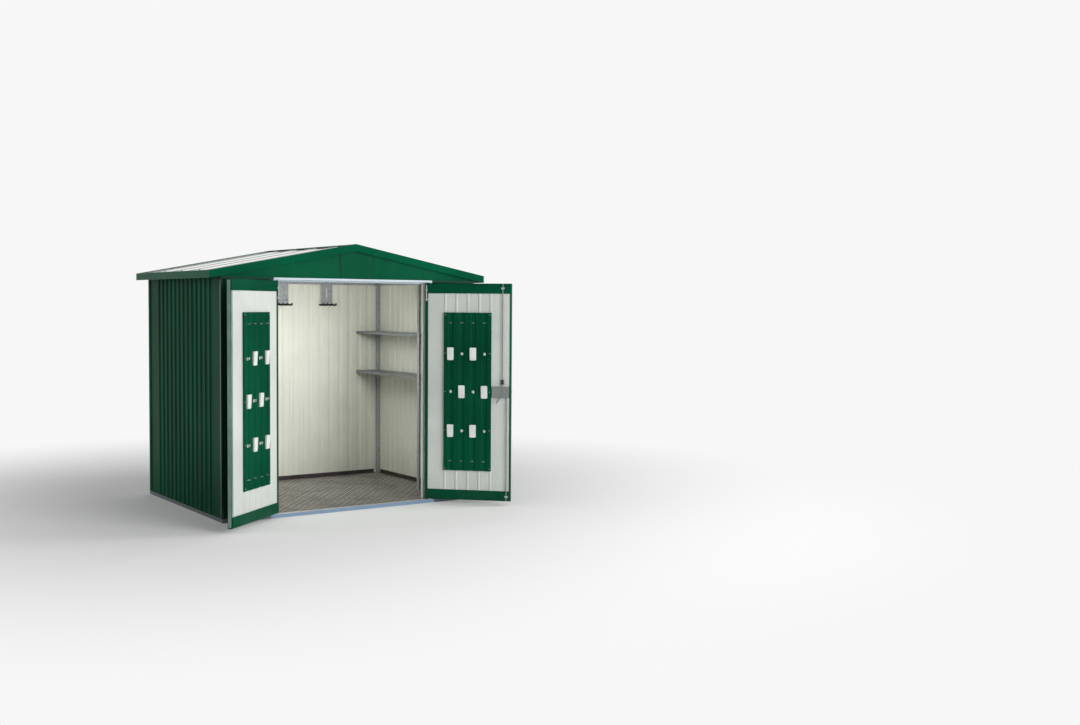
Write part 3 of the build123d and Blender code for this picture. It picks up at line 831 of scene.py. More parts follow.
gableSet = {"foot": 1.822, "drop": 0.0035, "front": -0.8383, "finish": ("greenPaint", "liningPaint")}


def makeGables():
    foot, drop, half = gableSet["foot"], gableSet["drop"], shedSet["frontHalf"]
    for node, x0, x1, depth, outside in (
        ("front_gable_left", -half, 0.0, gableSet["front"], -1.0),
        ("front_gable_right", 0.0, half, gableSet["front"], -1.0),
        ("rear_gable", -half, half, shedSet["halfDeep"], 1.0),
    ):
        outline = [(x0, foot), (x1, foot), (x1, ridgeAt(x1) - drop)]
        if x0 < 0.0 < x1:
            outline.append((0.0, ridgeAt(0.0) - drop))
        outline.append((x0, ridgeAt(x0) - drop))
        run = (0.0, 0.0, sheetSet["thick"])
        foldSheet(
            node, "shed", outline, run, (0.0, depth, 0.0), (0.0, outside, 0.0), gableSet["finish"], frontTurn,
        )


roofSet = {
    "start": 0.001, "edge": 0.002, "pitch": 0.4, "ribs": 4, "lap": 0.045, "high": 0.003,
    "finish": ("roofPaint", "liningPaint"),
}


def makeRoof():
    given = roofSet
    start, end = given["start"], shedSet["roofDeep"] - given["edge"]
    long = shedSet["roofHalf"] - given["edge"] - start
    outline = backed(ribLine(-end, end, spread(given["ribs"], given["pitch"]), given["high"], given["lap"]))
    place = (start, 0.0, ridgeAt(start) - sheetSet["ribHigh"])
    for node, matrix in (("right_roof", None), ("left_roof", mirror)):
        foldSheet(
            node, "shed", outline, (0.0, -slope * long, long), place, (0.0, 0.0, 1.0), given["finish"],
            upTurn, matrix,
        )


leafSheetSet = {
    "edge": 0.002, "skinZ": (0.036, 1.810), "skinPitch": 0.08, "skinRibs": 8, "skinHigh": 0.005,
    "skinLap": 0.026, "linerZ": (0.1125, 1.7335), "linerPitch": 0.096, "linerRibs": 5, "linerHigh": 0.0045,
    "linerBase": 0.020, "linerFlat": 0.011, "crease": (0.004, 0.0016, 0.05, 0.1), "boardZ": (0.278, 1.574),
    "boardU": (0.162, 0.562), "boardDeep": 0.012, "flutePitch": 0.095, "flutes": 4, "fluteDeep": 0.006,
}


def makeLeafSheets():
    given, thick = leafSheetSet, sheetSet["thick"]
    wide, half = leafSet["wide"], leafSet["half"]
    start, end = given["edge"], wide - given["edge"]

    def centres(count, pitch):
        return [wide / 2 + s for s in spread(count, pitch)]

    pan = -half + thick + given["skinHigh"]
    skinRibs = centres(given["skinRibs"], given["skinPitch"])
    skin = backed(ribLine(start, end, skinRibs, given["skinHigh"], given["skinLap"]))
    skin = [(s, pan - d) for s, d in skin]
    linerRibs = centres(given["linerRibs"], given["linerPitch"])
    liner = ribLine(start, end, linerRibs, given["linerHigh"], 0.0, given["linerBase"], given["linerFlat"])
    liner = [(s, half - thick + d) for s, d in backed(creased(liner, given["crease"]))]
    (start, end), back = given["boardU"], -given["boardDeep"]
    flutes = ribLine(start, end, centres(given["flutes"], given["flutePitch"]), -given["fluteDeep"])
    board = [(start, back)] + flutes + [(end, back), (end - thick, back), (end - thick, -thick)]
    board += [(s, d - thick) for s, d in reversed(flutes[1:-1])]
    board += [(start + thick, -thick), (start + thick, back)]
    board = [(s, leafSet["boardFace"] + d) for s, d in board]
    # skins and boards take the darker copy of the green: painted shade
    for side, body, matrix in leaves:
        for node, outline, (low, top), paint in (
            (side + "_leaf_skin", skin, given["skinZ"], "shadedDoorPaint"),
            (side + "_leaf_liner", liner, given["linerZ"], "creamPaint"),
            (side + "_tool_board", board, given["boardZ"], "shadedDoorPaint"),
        ):
            run, place = (0.0, 0.0, top - low), (0.0, 0.0, low)
            foldSheet(node, body, outline, run, place, (0.0, 1.0, 0.0), paint, matrix=matrix)


makeWalls()
makePanels()
makeGables()
makeRoof()
makeLeafSheets()
print("roll-formed sheets made")


# screws, rivets and bolts

# a head's cones: sides (0 for the head's own), lower and upper radius, height and rise as shares, and fill
headSet = {
    "rivet": {
        "radius": 0.0032, "height": 0.0014, "sides": 10,
        "cones": ((0, 1.0, 0.86, 0.45, 0.0, "NONE"), (0, 0.86, 0.42, 0.55, 0.45, "NGON")),
    },
    "hex": {
        "radius": 0.0070, "height": 0.0058, "sides": 14,
        "cones": (
            (0, 1.0, 0.9, 0.22, 0.0, "NGON"), (6, 0.62, 0.62, 0.60, 0.22, "NONE"),
            (6, 0.62, 0.5, 0.18, 0.82, "NGON"),
        ),
    },
    "cross": {
        "radius": 0.0040, "height": 0.0022, "sides": 12,
        "cones": ((0, 1.0, 0.82, 0.55, -0.1, "NGON"), (0, 0.82, 0.4, 0.55, 0.45, "NGON")),
        "slots": ((1.05, 0.2, 0.8), (0.2, 1.05, 0.8)),
    },
}


def headTree(kind):
    # heads on the seed's spots, each turned by chance about the way it faces
    tree, given = newTree(kind + "Heads", {
        "Radius": "number", "Height": "number", "Sides": "count", "Finish": "finish",
    })
    radius, height = given["Radius"], given["Height"]
    cones = []
    for sides, low, top, deep, rise, fill in headSet[kind]["cones"]:
        cone = firstOutput(tree, "GeometryNodeMeshCone", {
            "Vertices": sides or given["Sides"], "Radius Bottom": product(tree, radius, low),
            "Radius Top": product(tree, radius, top), "Depth": product(tree, height, deep),
        }, fill_type=fill)
        cones.append(raised(tree, cone, product(tree, height, rise)))
    head = joined(tree, *cones)
    if "slots" in headSet[kind]:
        cut = addNode(tree, "GeometryNodeMeshBoolean", {
            "Mesh 1": head,
        }, operation="DIFFERENCE", solver="EXACT")
        for long, wide, high in headSet[kind]["slots"]:
            size = firstOutput(tree, "ShaderNodeCombineXYZ", {
                0: product(tree, radius, long), 1: product(tree, radius, wide),
                2: product(tree, height, high),
            })
            cube = firstOutput(tree, "GeometryNodeMeshCube", {"Size": size})
            tree.links.new(raised(tree, cube, height), cut.inputs["Mesh 2"])
        head = cut.outputs[0]
    facing = firstOutput(tree, "GeometryNodeInputNamedAttribute", {
        "Name": "facing",
    }, data_type="FLOAT_VECTOR")
    aimed = firstOutput(tree, "FunctionNodeAlignRotationToVector", {"Vector": facing}, axis="Z")
    spin = addNode(tree, "FunctionNodeRandomValue", {2: 0.0, 3: 6.28, "Seed": 11}, data_type="FLOAT")
    turn = firstOutput(tree, "FunctionNodeAxisAngleToRotation", {
        "Axis": (0.0, 0.0, 1.0), "Angle": spin.outputs[1],
    })
    turned = firstOutput(tree, "FunctionNodeRotateRotation", {
        "Rotation": aimed, "Rotate By": turn,
    }, rotation_space="LOCAL")
    points = firstOutput(tree, "GeometryNodeMeshToPoints", {"Mesh": given["Geometry"], "Radius": 0.001})
    heads = firstOutput(tree, "GeometryNodeInstanceOnPoints", {
        "Points": points, "Instance": head, "Rotation": turned,
    })
    return endTree(tree, closeTree(tree, heads, given["Finish"]))


headTrees = {kind: headTree(kind) for kind in headSet}


def fixings(name, body, kind, finish, spots, scale=1.0, matrix=None):
    given = headSet[kind]
    piece = grow(name, headTrees[kind], {
        "Radius": given["radius"] * scale, "Height": given["height"] * scale, "Sides": given["sides"],
        "Finish": finishes[finish],
    }, spotMesh(name, spots))
    placeMesh(piece, matrix)
    ride(piece, body)


def evenly(start, end, pitch):
    count = max(1, round((end - start) / pitch))
    return [start + (end - start) * i / count for i in range(count + 1)]


def gaps(count, pitch):
    # the middles of the flats between the ribs of a row
    return [s + pitch / 2 for s in spread(count, pitch)[:-1]]


def faced(way, places):
    return [(place, way) for place in places]


forward, rearward, upward = (0.0, -1.0, 0.0), (0.0, 1.0, 0.0), (0.0, 0.0, 1.0)
wallFixSet = {
    "edge": 0.017, "sideZ": (0.09, 1.81, 0.29), "sideRows": (0.048, 1.825), "rearZ": (0.09, 1.78, 0.29),
    "rearRows": (0.048, 1.80), "jambX": 1.083, "jambZ": (0.09, 1.76, 0.29), "headX": (0.17, 1.03, 0.215),
    "headZ": 1.838,
}


def makeWallFixings():
    given, high = wallFixSet, sheetSet["ribHigh"]
    wide, deep = shedSet["halfWide"], shedSet["halfDeep"]
    walls, panels = [], []
    for side in (-1, 1):
        way = (side, 0.0, 0.0)
        for y in (-deep + given["edge"], deep - given["edge"]):
            walls += faced(way, [(side * wide, y, z) for z in evenly(*given["sideZ"])])
        flats = gaps(wallSet["sideRibs"], sheetSet["ribPitch"])[::2]
        walls += faced(way, [(side * (wide - high), y, z) for y in flats for z in given["sideRows"]])
        x = side * (shedSet["frontHalf"] - given["edge"])
        walls += faced(rearward, [(x, deep, z) for z in evenly(*given["rearZ"])])
        panels += faced(forward, [(side * given["jambX"], -deep, z) for z in evenly(*given["jambZ"])])
        panels += faced(forward, [(side * x, -deep, given["headZ"]) for x in evenly(*given["headX"])])
    flats = gaps(wallSet["backRibs"], sheetSet["ribPitch"])[::2]
    walls += faced(rearward, [(x, deep - high, z) for x in flats for z in given["rearRows"]])
    fixings("wall_screws", "shed", "hex", "paintedHead", walls, scale=0.72)
    fixings("front_rivets", "shed", "rivet", "greenPaint", panels)


roofFixSet = {
    "rowX": 1.1, "ridgeX": 0.026, "ridgeY": (-0.80, 0.80, 0.4), "drop": 0.028, "vergeX": (0.10, 1.16, 0.265),
    "eaveY": (-0.82, 0.82, 0.273), "plateY": -0.843, "plate": ((0.104, 1.849), (0.114, 2.006), (0.109, 1.93)),
}


def makeRoofFixings():
    given = roofFixSet
    lean = Vector((slope, 0.0, 1.0)).normalized()
    row, top = given["rowX"], given["ridgeX"]
    screws, ridge, trim = [], [], []
    for side in (-1, 1):
        way = (side * lean.x, 0.0, lean.z)
        pans = gaps(roofSet["ribs"], roofSet["pitch"])
        screws += faced(way, [(side * row, y, ridgeAt(row) - sheetSet["ribHigh"]) for y in pans])
        ridge += faced(way, [(side * top, y, ridgeAt(top)) for y in evenly(*given["ridgeY"])])
    for way, y in ((forward, -shedSet["roofDeep"]), (rearward, shedSet["roofDeep"])):
        for side in (-1, 1):
            verge = [(side * x, y, ridgeAt(x) - given["drop"]) for x in evenly(*given["vergeX"])]
            trim += faced(way, verge)
    eave = shedSet["roofHalf"]
    for side in (-1, 1):
        edge = [(side * eave, y, ridgeAt(eave) - given["drop"]) for y in evenly(*given["eaveY"])]
        trim += faced((side, 0.0, 0.0), edge)
    plate = [(side * x, given["plateY"], z) for side in (-1, 1) for x, z in given["plate"]]
    fixings("roof_screws", "shed", "hex", "paintedHead", screws)
    fixings("ridge_rivets", "shed", "rivet", "greenPaint", ridge, scale=0.8)
    fixings("trim_rivets", "shed", "rivet", "greenPaint", trim)
    fixings("plate_rivets", "shed", "rivet", "greenPaint", faced(forward, plate))


insideFixSet = {
    "sillX": (0.62, 0.36, 0.12), "sillY": -0.850, "sillEnd": (1.02, -0.8),
    "floorY": (-0.775, 0.775), "floorX": (0.03, 1.03, 0.26), "rowY": (-0.52, 0.52, 0.26),
    "rowX": (0.018, 0.54, 1.035), "postX": 0.8555, "postY": (-0.531, -0.491),
    "postZ": (0.06, 0.60, 1.30, 1.70, 1.80),
    "shelfX": 0.8705, "shelfY": -0.551, "shelfZ": (1.369, 1.0), "hangerY": 0.8265, "hangerHalf": 0.036,
    "hangerZ": (1.815, 1.668), "strapX": 1.078, "strapY": 0.8055, "strapZ": (1.36, 1.12, 0.9),
}


def makeInsideFixings():
    given, z = insideFixSet, shedSet["floorTop"]
    endX, endY = given["sillEnd"]
    sill = [(side * x, given["sillY"], z) for side in (-1, 1) for x in given["sillX"]]
    sill += [(side * endX, endY, z) for side in (-1, 1)]
    floor = []
    for side in (-1, 1):
        floor += [(side * x, y, z) for y in given["floorY"] for x in evenly(*given["floorX"])]
        floor += [(side * x, y, z) for y in evenly(*given["rowY"]) for x in given["rowX"]]
    bolts = faced((-1.0, 0.0, 0.0), [(given["postX"], y, z) for y in given["postY"] for z in given["postZ"]])
    bolts += faced(forward, [(given["shelfX"], given["shelfY"], z) for z in given["shelfZ"]])
    half = given["hangerHalf"]
    columns = [middle + side * half for middle in shedSet["hangers"] for side in (-1, 1)]
    bolts += faced(forward, [(x, given["hangerY"], z) for x in columns for z in given["hangerZ"]])
    bolts += faced(forward, [(given["strapX"], given["strapY"], z) for z in given["strapZ"]])
    fixings("sill_screws", "shed", "cross", "steelHead", faced(upward, sill))
    fixings("floor_screws", "shed", "cross", "steelHead", faced(upward, floor), scale=1.2)
    fixings("rack_bolts", "shed", "hex", "steelHead", bolts)


leafFixSet = {
    "rim": 0.0125, "rimZ": (0.05, 1.796, 0.225), "rimIn": 0.12, "rimPitch": 0.121, "rimRows": (0.047, 1.799),
    "linerIn": (0.035, 0.034), "linerV": 0.0145, "linerZ": (0.14, 1.70, 0.27),
    "railIn": (0.026, 0.048, 0.014), "railZ": (0.052, 0.092, 1.754, 1.794), "rowIn": (0.13, 0.17),
    "rowPitch": 0.22, "rowZ": (0.073, 1.773), "boardIn": 0.013,
    "boardZ": (0.296, 0.611, 0.926, 1.241, 1.556),
    "caseU": (0.5795, 0.7025), "caseZ": (0.8915, 0.9645), "caseV": 0.034, "guideHalf": 0.009,
    "guides": ((0.655, 1.773), (0.691, 0.073)),
}


def makeLeafFixings():
    # a leaf's pieces are set out closed, u across and v out of its inner side
    given, wide = leafFixSet, leafSet["wide"]
    rim, rimIn, out = given["rim"], given["rimIn"], -leafSet["half"]
    outer = [(u, out, z) for u in (rim, wide - rim) for z in evenly(*given["rimZ"])]
    outer += [(u, out, z) for u in evenly(rimIn, wide - rimIn, given["rimPitch"]) for z in given["rimRows"]]
    near, far = given["linerIn"]
    liners = [(u, given["linerV"], z) for u in (near, wide - far) for z in evenly(*given["linerZ"])]
    near, second, far = given["railIn"]
    face = leafSet["capFace"]
    rails = [(u, face, z) for u in (near, second, wide - far) for z in given["railZ"]]
    near, far = given["rowIn"]
    rails += [(u, face, z) for u in evenly(near, wide - far, given["rowPitch"]) for z in given["rowZ"]]
    near, far = leafSheetSet["boardU"]
    columns = (near + given["boardIn"], far - given["boardIn"])
    boards = [(u, leafSet["boardFace"], z) for u in columns for z in given["boardZ"]]
    for side, body, matrix in leaves:
        for name, kind, finish, way, places, scale in (
            ("_leaf_rivets", "rivet", "greenPaint", forward, outer, 1.0),
            ("_liner_rivets", "rivet", "creamPaint", rearward, liners, 0.8),
            ("_rail_rivets", "rivet", "greenPaint", rearward, rails, 0.8),
            ("_board_screws", "cross", "steelHead", rearward, boards, 1.0),
        ):
            fixings(side + name, body, kind, finish, faced(way, places), scale, matrix)
    lock = [(u, given["caseV"], z) for u in given["caseU"] for z in given["caseZ"]]
    half = given["guideHalf"]
    lock += [(u + side * half, given["caseV"], z) for u, z in given["guides"] for side in (-1, 1)]
    fixings("lock_screws", "right_leaf", "cross", "steelHead", faced(rearward, lock), matrix=leaves[1][2])


makeWallFixings()
makeRoofFixings()
makeInsideFixings()
makeLeafFixings()
print("screws, rivets and bolts set")


# raised bars of the floor plates

treadSet = {
    "pitchX": 0.0352, "pitchY": 0.0424, "slant": 50.3, "bar": (0.0225, 0.0066, 0.0020), "countX": 30,
    "countY": 37, "middleX": 0.5275,
}


def treadTree():
    # a grid of low bars, slanted one way and the other by turns
    tree, given = newTree("treadTree", {
        "Size X": "number", "Size Y": "number", "Count X": "count", "Count Y": "count", "Pitch": "vector",
        "Slant": "number", "Bar": "vector", "Middle": "vector", "Finish": "finish",
    })
    grid = firstOutput(tree, "GeometryNodeMeshGrid", {
        "Size X": given["Size X"], "Size Y": given["Size Y"], "Vertices X": given["Count X"],
        "Vertices Y": given["Count Y"],
    })
    foot = firstOutput(tree, "GeometryNodeMeshCone", {
        "Vertices": 8, "Radius Bottom": 1.0, "Radius Top": 0.8, "Depth": 0.6,
    }, fill_type="NONE")
    cap = firstOutput(tree, "GeometryNodeMeshCone", {
        "Vertices": 8, "Radius Bottom": 0.8, "Radius Top": 0.35, "Depth": 0.4,
    }, fill_type="NGON")
    whole = joined(tree, foot, raised(tree, cap, 0.6))
    whole = firstOutput(tree, "GeometryNodeMergeByDistance", {"Geometry": whole, "Distance": 0.01})
    bar = firstOutput(tree, "GeometryNodeTransform", {"Geometry": whole, "Scale": given["Bar"]})
    place = firstOutput(tree, "GeometryNodeInputPosition")
    cell = firstOutput(tree, "ShaderNodeVectorMath", {0: place, 1: given["Pitch"]}, operation="DIVIDE")
    cells = addNode(tree, "ShaderNodeSeparateXYZ", {0: cell}).outputs
    ahead = total(tree, total(tree, cells[0], cells[1]), 1000.25)  # above zero, and off the cells' edges
    parity = reckoned(tree, "FLOORED_MODULO", reckoned(tree, "FLOOR", ahead), 2.0)
    other = reckoned(tree, "MULTIPLY_ADD", given["Slant"], -2.0, math.pi)
    angle = total(tree, product(tree, parity, other), given["Slant"])
    turn = firstOutput(tree, "FunctionNodeAxisAngleToRotation", {"Axis": (0.0, 0.0, 1.0), "Angle": angle})
    bars = firstOutput(tree, "GeometryNodeInstanceOnPoints", {
        "Points": grid, "Instance": bar, "Rotation": turn,
    })
    placed = firstOutput(tree, "GeometryNodeTransform", {"Geometry": bars, "Translation": given["Middle"]})
    return endTree(tree, closeTree(tree, placed, given["Finish"]))


def makeTread():
    tree, given = treadTree(), treadSet
    # the bars take the light finish: partly wear, partly painted glint
    for side, name in ((-1, "left_tread_bars"), (1, "right_tread_bars")):
        piece = grow(name, tree, {
            "Size X": given["pitchX"] * (given["countX"] - 1),
            "Size Y": given["pitchY"] * (given["countY"] - 1),
            "Count X": given["countX"], "Count Y": given["countY"],
            "Pitch": (given["pitchX"], given["pitchY"], 1.0),
            "Slant": math.radians(given["slant"]), "Bar": given["bar"],
            "Middle": (side * given["middleX"], 0.0, shedSet["floorTop"]), "Finish": finishes["treadWearAndGlint"],
        }, bpy.data.meshes.new(name))
        piece.data.shade_smooth()
        ride(piece, "shed")


makeTread()
print("raised bars of the floor made")


# turned and lofted pieces

turnedCrisp = 38.0  # degrees between two faces from which their edge stays sharp


def merged(name, body, parts, finish, matrix=None, node=None):
    # one smooth object of all the parts
    points, faces = [], []
    for partPoints, partFaces in parts:
        base = len(points)
        points += partPoints
        faces += [tuple(i + base for i in face) for face in partFaces]
    mesh = bpy.data.meshes.new(name)
    mesh.from_pydata(points, [], faces)
    mesh.materials.append(finishes[finish])
    piece = bpy.data.objects.new(name, mesh)
    bpy.context.scene.collection.objects.link(piece)
    placeMesh(piece, matrix)
    mesh.shade_smooth()
    mesh.set_sharp_from_angle(angle=math.radians(turnedCrisp))
    evenNormals(piece)
    ride(piece, body, node)


def shifted(points, place):
    return [tuple(point[k] + place[k] for k in range(3)) for point in points]


def tubeFaces(rings, sides, clockwise=False):
    # faces between rings of points and over both ends; clockwise rings need them wound the other way
    faces = []
    for ring in range(rings - 1):
        a, b = ring * sides, (ring + 1) * sides
        for i in range(sides):
            j = (i + 1) % sides
            faces.append((a + i, b + i, b + j, a + j) if clockwise else (a + i, a + j, b + j, b + i))
    ends = [tuple(reversed(range(sides))), tuple(range((rings - 1) * sides, rings * sides))]
    return faces + ([tuple(reversed(end)) for end in ends] if clockwise else ends)


def lathe(profile, place=(0.0, 0.0, 0.0), axis="Z", sides=24, flatten=1.0):
    # profile is (radius, height) from the bottom up
    points = []
    for radius, height in profile:
        for i in range(sides):
            a = 2 * math.pi * i / sides
            x, y = radius * math.cos(a) * flatten, radius * math.sin(a)
            points.append((x, y, height) if axis == "Z" else (x, height, -y))
    return shifted(points, place), tubeFaces(len(profile), sides)


def ringTube(profile, place, sides=28):
    # a turned ring: the profile closes on itself round a bore
    points, faces = [], []
    count = len(profile)
    for i in range(sides):
        a = 2 * math.pi * i / sides
        points += [(r * math.cos(a), r * math.sin(a), h) for r, h in profile]
        j = (i + 1) % sides
        for k in range(count):
            m = (k + 1) % count
            faces.append((i * count + k, j * count + k, j * count + m, i * count + m))
    return shifted(points, place), faces


def loft(path, sizes, side, sides=16, power=0.55):
    # a rounded flat bar along a path; a size is half width, along side, and half thickness
    if isinstance(sizes, tuple):
        sizes = [sizes] * len(path)
    side = Vector(side).normalized()
    points = []
    path = [Vector(p) for p in path]
    for k, (place, (wide, thick)) in enumerate(zip(path, sizes)):
        ahead = (path[min(k + 1, len(path) - 1)] - path[max(k - 1, 0)]).normalized()
        across = (side - ahead * side.dot(ahead)).normalized()
        up = ahead.cross(across)
        for i in range(sides):
            a = 2 * math.pi * i / sides
            c, s = math.cos(a), math.sin(a)
            x = math.copysign(abs(c) ** power, c) * wide
            y = math.copysign(abs(s) ** power, s) * thick
            points.append(tuple(place + across * x + up * y))
    return points, tubeFaces(len(path), sides)


def curved(points, steps=6):
    # a smooth path that passes through all the points
    points = [Vector(p) for p in points]
    padded = [points[0] * 2 - points[1]] + points + [points[-1] * 2 - points[-2]]
    path = []
    for a, b, c, d in zip(padded, padded[1:], padded[2:], padded[3:]):
        for i in range(steps):
            t = i / steps
            square = (2 * a - 5 * b + 4 * c - d) * t * t
            cube = (3 * b - a - 3 * c + d) * t ** 3
            path.append(0.5 * (2 * b + (c - a) * t + square + cube))
    return path + [points[-1]]


# lock, lever and grip of the right leaf

lockSet = {
    "place": (0.673, 0.928), "camV": 0.026, "bladeV": 0.0395, "handleV": -0.041, "keyDrop": 0.046,
    "barrelAt": (0.6990, 0.0, 0.948),
    "spindle": (
        (0.0058, -0.036), (0.0060, -0.034), (0.0060, 0.0345), (0.0112, 0.0350), (0.0125, 0.0362),
        (0.0125, 0.0418), (0.0110, 0.0434), (0.0050, 0.0438), (0.0046, 0.0430),
    ),
    "cam": ((0.0128, -0.004), (0.014, -0.003), (0.014, 0.003), (0.0128, 0.004)),
    "blade": (
        (-0.004, 0.0, -0.006), (-0.022, 0.0, -0.030), (-0.040, 0.0, -0.056), (-0.056, 0.0008, -0.074),
        (-0.0668, 0.0006, -0.0899),
    ),
    "bladeSize": (0.0068, 0.0036), "bladeWaist": 0.0016, "bladeTip": 0.0022, "bladeTaper": 0.0010,
    "bladeSide": (0.8, 0.0, -0.6),
    "handle": (
        (-0.049, 0.001, 0.0), (-0.0294, -0.0006, 0.0), (0.0, 0.0, 0.0), (0.0294, -0.0006, 0.0),
        (0.049, 0.001, 0.0),
    ),
    "handleSize": (0.0066, 0.0052), "handleTaper": 0.0012,
    "rose": ((0.0075, -0.0168), (0.0075, -0.0205), (0.0200, -0.0200), (0.0232, -0.0188), (0.0240, -0.0168)),
    "collar": ((0.0100, -0.0205), (0.0096, -0.0262), (0.0066, -0.0268)),
    "key": ((0.0060, -0.0168), (0.0060, -0.0190), (0.0132, -0.0188), (0.0140, -0.0168)),
    "barrel": ((0.0070, 0.0338), (0.0070, 0.0352), (0.0062, 0.0358), (0.0040, 0.0358), (0.0038, 0.0350)),
    "holeHalf": 0.0028, "holeSize": (0.0007, 0.0004), "barrelHole": (0.0352, 0.03605),
    "keyHole": (-0.0193, -0.0186),
    "grip": (
        (0.0042, -0.018), (0.0085, -0.018), (0.0105, -0.0165), (0.0110, -0.013), (0.0104, -0.0095),
        (0.0080, -0.0065), (0.0062, -0.003), (0.0060, 0.001), (0.0068, 0.0045), (0.0092, 0.0070),
        (0.0108, 0.0085), (0.0110, 0.0105), (0.0110, 0.0145), (0.0104, 0.0165), (0.0085, 0.018),
        (0.0042, 0.018),
    ),
    "gripAt": (0.655, 0.026, 1.010), "gripFlat": 1.5,
}


def makeLock():
    given, matrix = lockSet, leaves[1][2]
    u, z = given["place"]
    spindleAt, keyAt = (u, 0.0, z), (u, 0.0, z - given["keyDrop"])
    spindle = lathe(given["spindle"], spindleAt, "Y")
    cam = lathe(given["cam"], (u, given["camV"], z), "Y", 32)
    path = curved(shifted(given["blade"], (u, given["bladeV"], z)))
    wide, thick = given["bladeSize"]
    sizes = []
    for k in range(len(path)):
        share = k / (len(path) - 1)
        waist = given["bladeWaist"] * math.sin(math.pi * share)
        tip = given["bladeTip"] if share == 1 else 0.0
        sizes.append((wide - waist - tip, thick - given["bladeTaper"] * share))
    blade = loft(path, sizes, given["bladeSide"])
    path = curved(shifted(given["handle"], (u, given["handleV"], z)))
    wide, thick = given["handleSize"]
    sizes = []
    for k in range(len(path)):
        taper = given["handleTaper"] * abs(2 * k / (len(path) - 1) - 1) ** 3
        sizes.append((wide - taper, thick - taper))
    handle = loft(path, sizes, (0.0, 0.0, 1.0))
    merged("lock_lever_forged", "lock", [spindle, cam, blade, handle], "castZinc", matrix, "lock_lever")

    knob = lathe(given["grip"], given["gripAt"], flatten=given["gripFlat"])
    merged("rod_grip_turned", "upper_bolt", [knob], "blackPlastic", matrix, "rod_grip")

    rose = lathe(given["rose"], spindleAt, "Y", 36)
    collar = lathe(given["collar"], spindleAt, "Y", 24)
    key = lathe(given["key"], keyAt, "Y", 28)
    merged("handle_rose", "right_leaf", [rose, collar, key], "castZinc", matrix)
    barrel = lathe(given["barrel"], given["barrelAt"], "Y", 22)
    merged("key_barrel", "right_leaf", [barrel], "castZinc", matrix)
    # the keyholes are thin black pieces on the faces: painted shade of the slots' depth
    holes, half = [], given["holeHalf"]
    for place, (v0, v1) in ((given["barrelAt"], given["barrelHole"]), (keyAt, given["keyHole"])):
        path = shifted(((0.0, v0, -half), (0.0, v1, -half), (0.0, v1, half), (0.0, v0, half)), place)
        holes.append(loft(path, given["holeSize"], (1.0, 0.0, 0.0), 8))
    merged("keyholes", "right_leaf", holes, "rubber", matrix)


# pivot bushes, closing strip and corner beads

bushSet = {"bore": 0.0055, "round": 0.0115, "chamfer": 0.001, "levels": (0.0282, 1.8128), "high": 0.005}
stripSet = {
    "outline": (
        (0.0002, -0.0125), (0.0014, -0.0135), (0.0019, -0.0105), (0.0019, 0.0105), (0.0014, 0.0135),
        (0.0002, 0.0125),
    ),
    "z": (0.043, 1.803), "bend": 0.0004,
}
beadSet = {"leg": 0.016, "thick": 0.0012, "z": (0.029, 1.817), "bend": 0.0016}


def makeDoorTrim():
    bore, outer, chamfer = bushSet["bore"], bushSet["round"], bushSet["chamfer"]
    bushes = []
    for side in (-1, 1):
        for low in bushSet["levels"]:
            high = low + bushSet["high"]
            profile = [(bore, low), (outer - chamfer, low), (outer, low + chamfer)]
            profile += [(outer, high - chamfer), (outer - chamfer, high), (bore, high)]
            bushes.append(ringTube(profile, (side * leafSet["pivotX"], leafSet["pivotY"], 0.0)))
    merged("pivot_bushes", "shed", bushes, "whitePlastic")

    # the left leaf's closing strip takes the pale copy of the green: painted reflection
    side, body, matrix = leaves[0]
    outline = [(leafSet["wide"] + u, v) for u, v in stripSet["outline"]]
    stood(
        "closing_strip", body, outline, stripSet["z"], "sheenPaleGreen", bend=stripSet["bend"], steps=2,
        matrix=matrix, even=False,
    )

    # the corner beads take the dark copy of the green: painted shade
    leg, thick = beadSet["leg"], beadSet["thick"]
    corner = ((-leg, -thick), (0.0, -thick), (thick, 0.0), (thick, leg), (0.0, leg), (0.0, 0.0), (-leg, 0.0))
    for side, name in ((-1, "left_corner_bead"), (1, "right_corner_bead")):
        outline = [(side * (shedSet["halfWide"] + x), y - shedSet["halfDeep"]) for x, y in corner]
        stood(name, "shed", outline, beadSet["z"], "shadedBeadPaint", bend=beadSet["bend"], even=False)


# foot rails and the sleeves of the tool hangers

railSet = {
    "sideX": 1.0895, "rearY": 0.8298, "z": (0.0285, 0.062), "leg": 0.022, "bend": 0.002, "sideHalf": 0.79,
    "rearHalf": 1.04,
}
rackSet = {
    "prongs": (-0.064, -0.022, 0.022, 0.064), "face": 0.8285, "low": 1.617,
    "sleeve": (
        (0.0, -0.014, 0.004), (0.0, -0.040, 0.004), (0.0, -0.064, 0.005), (0.0, -0.0665, 0.013),
        (0.0, -0.0665, 0.0225),
    ),
    "sleeveSize": (0.0078, 0.0058),
    "pad": ((-0.079, -0.0092, 0.009), (0.0, -0.0094, 0.009), (0.079, -0.0092, 0.009)),
    "padSize": (0.0068, 0.0030),
}


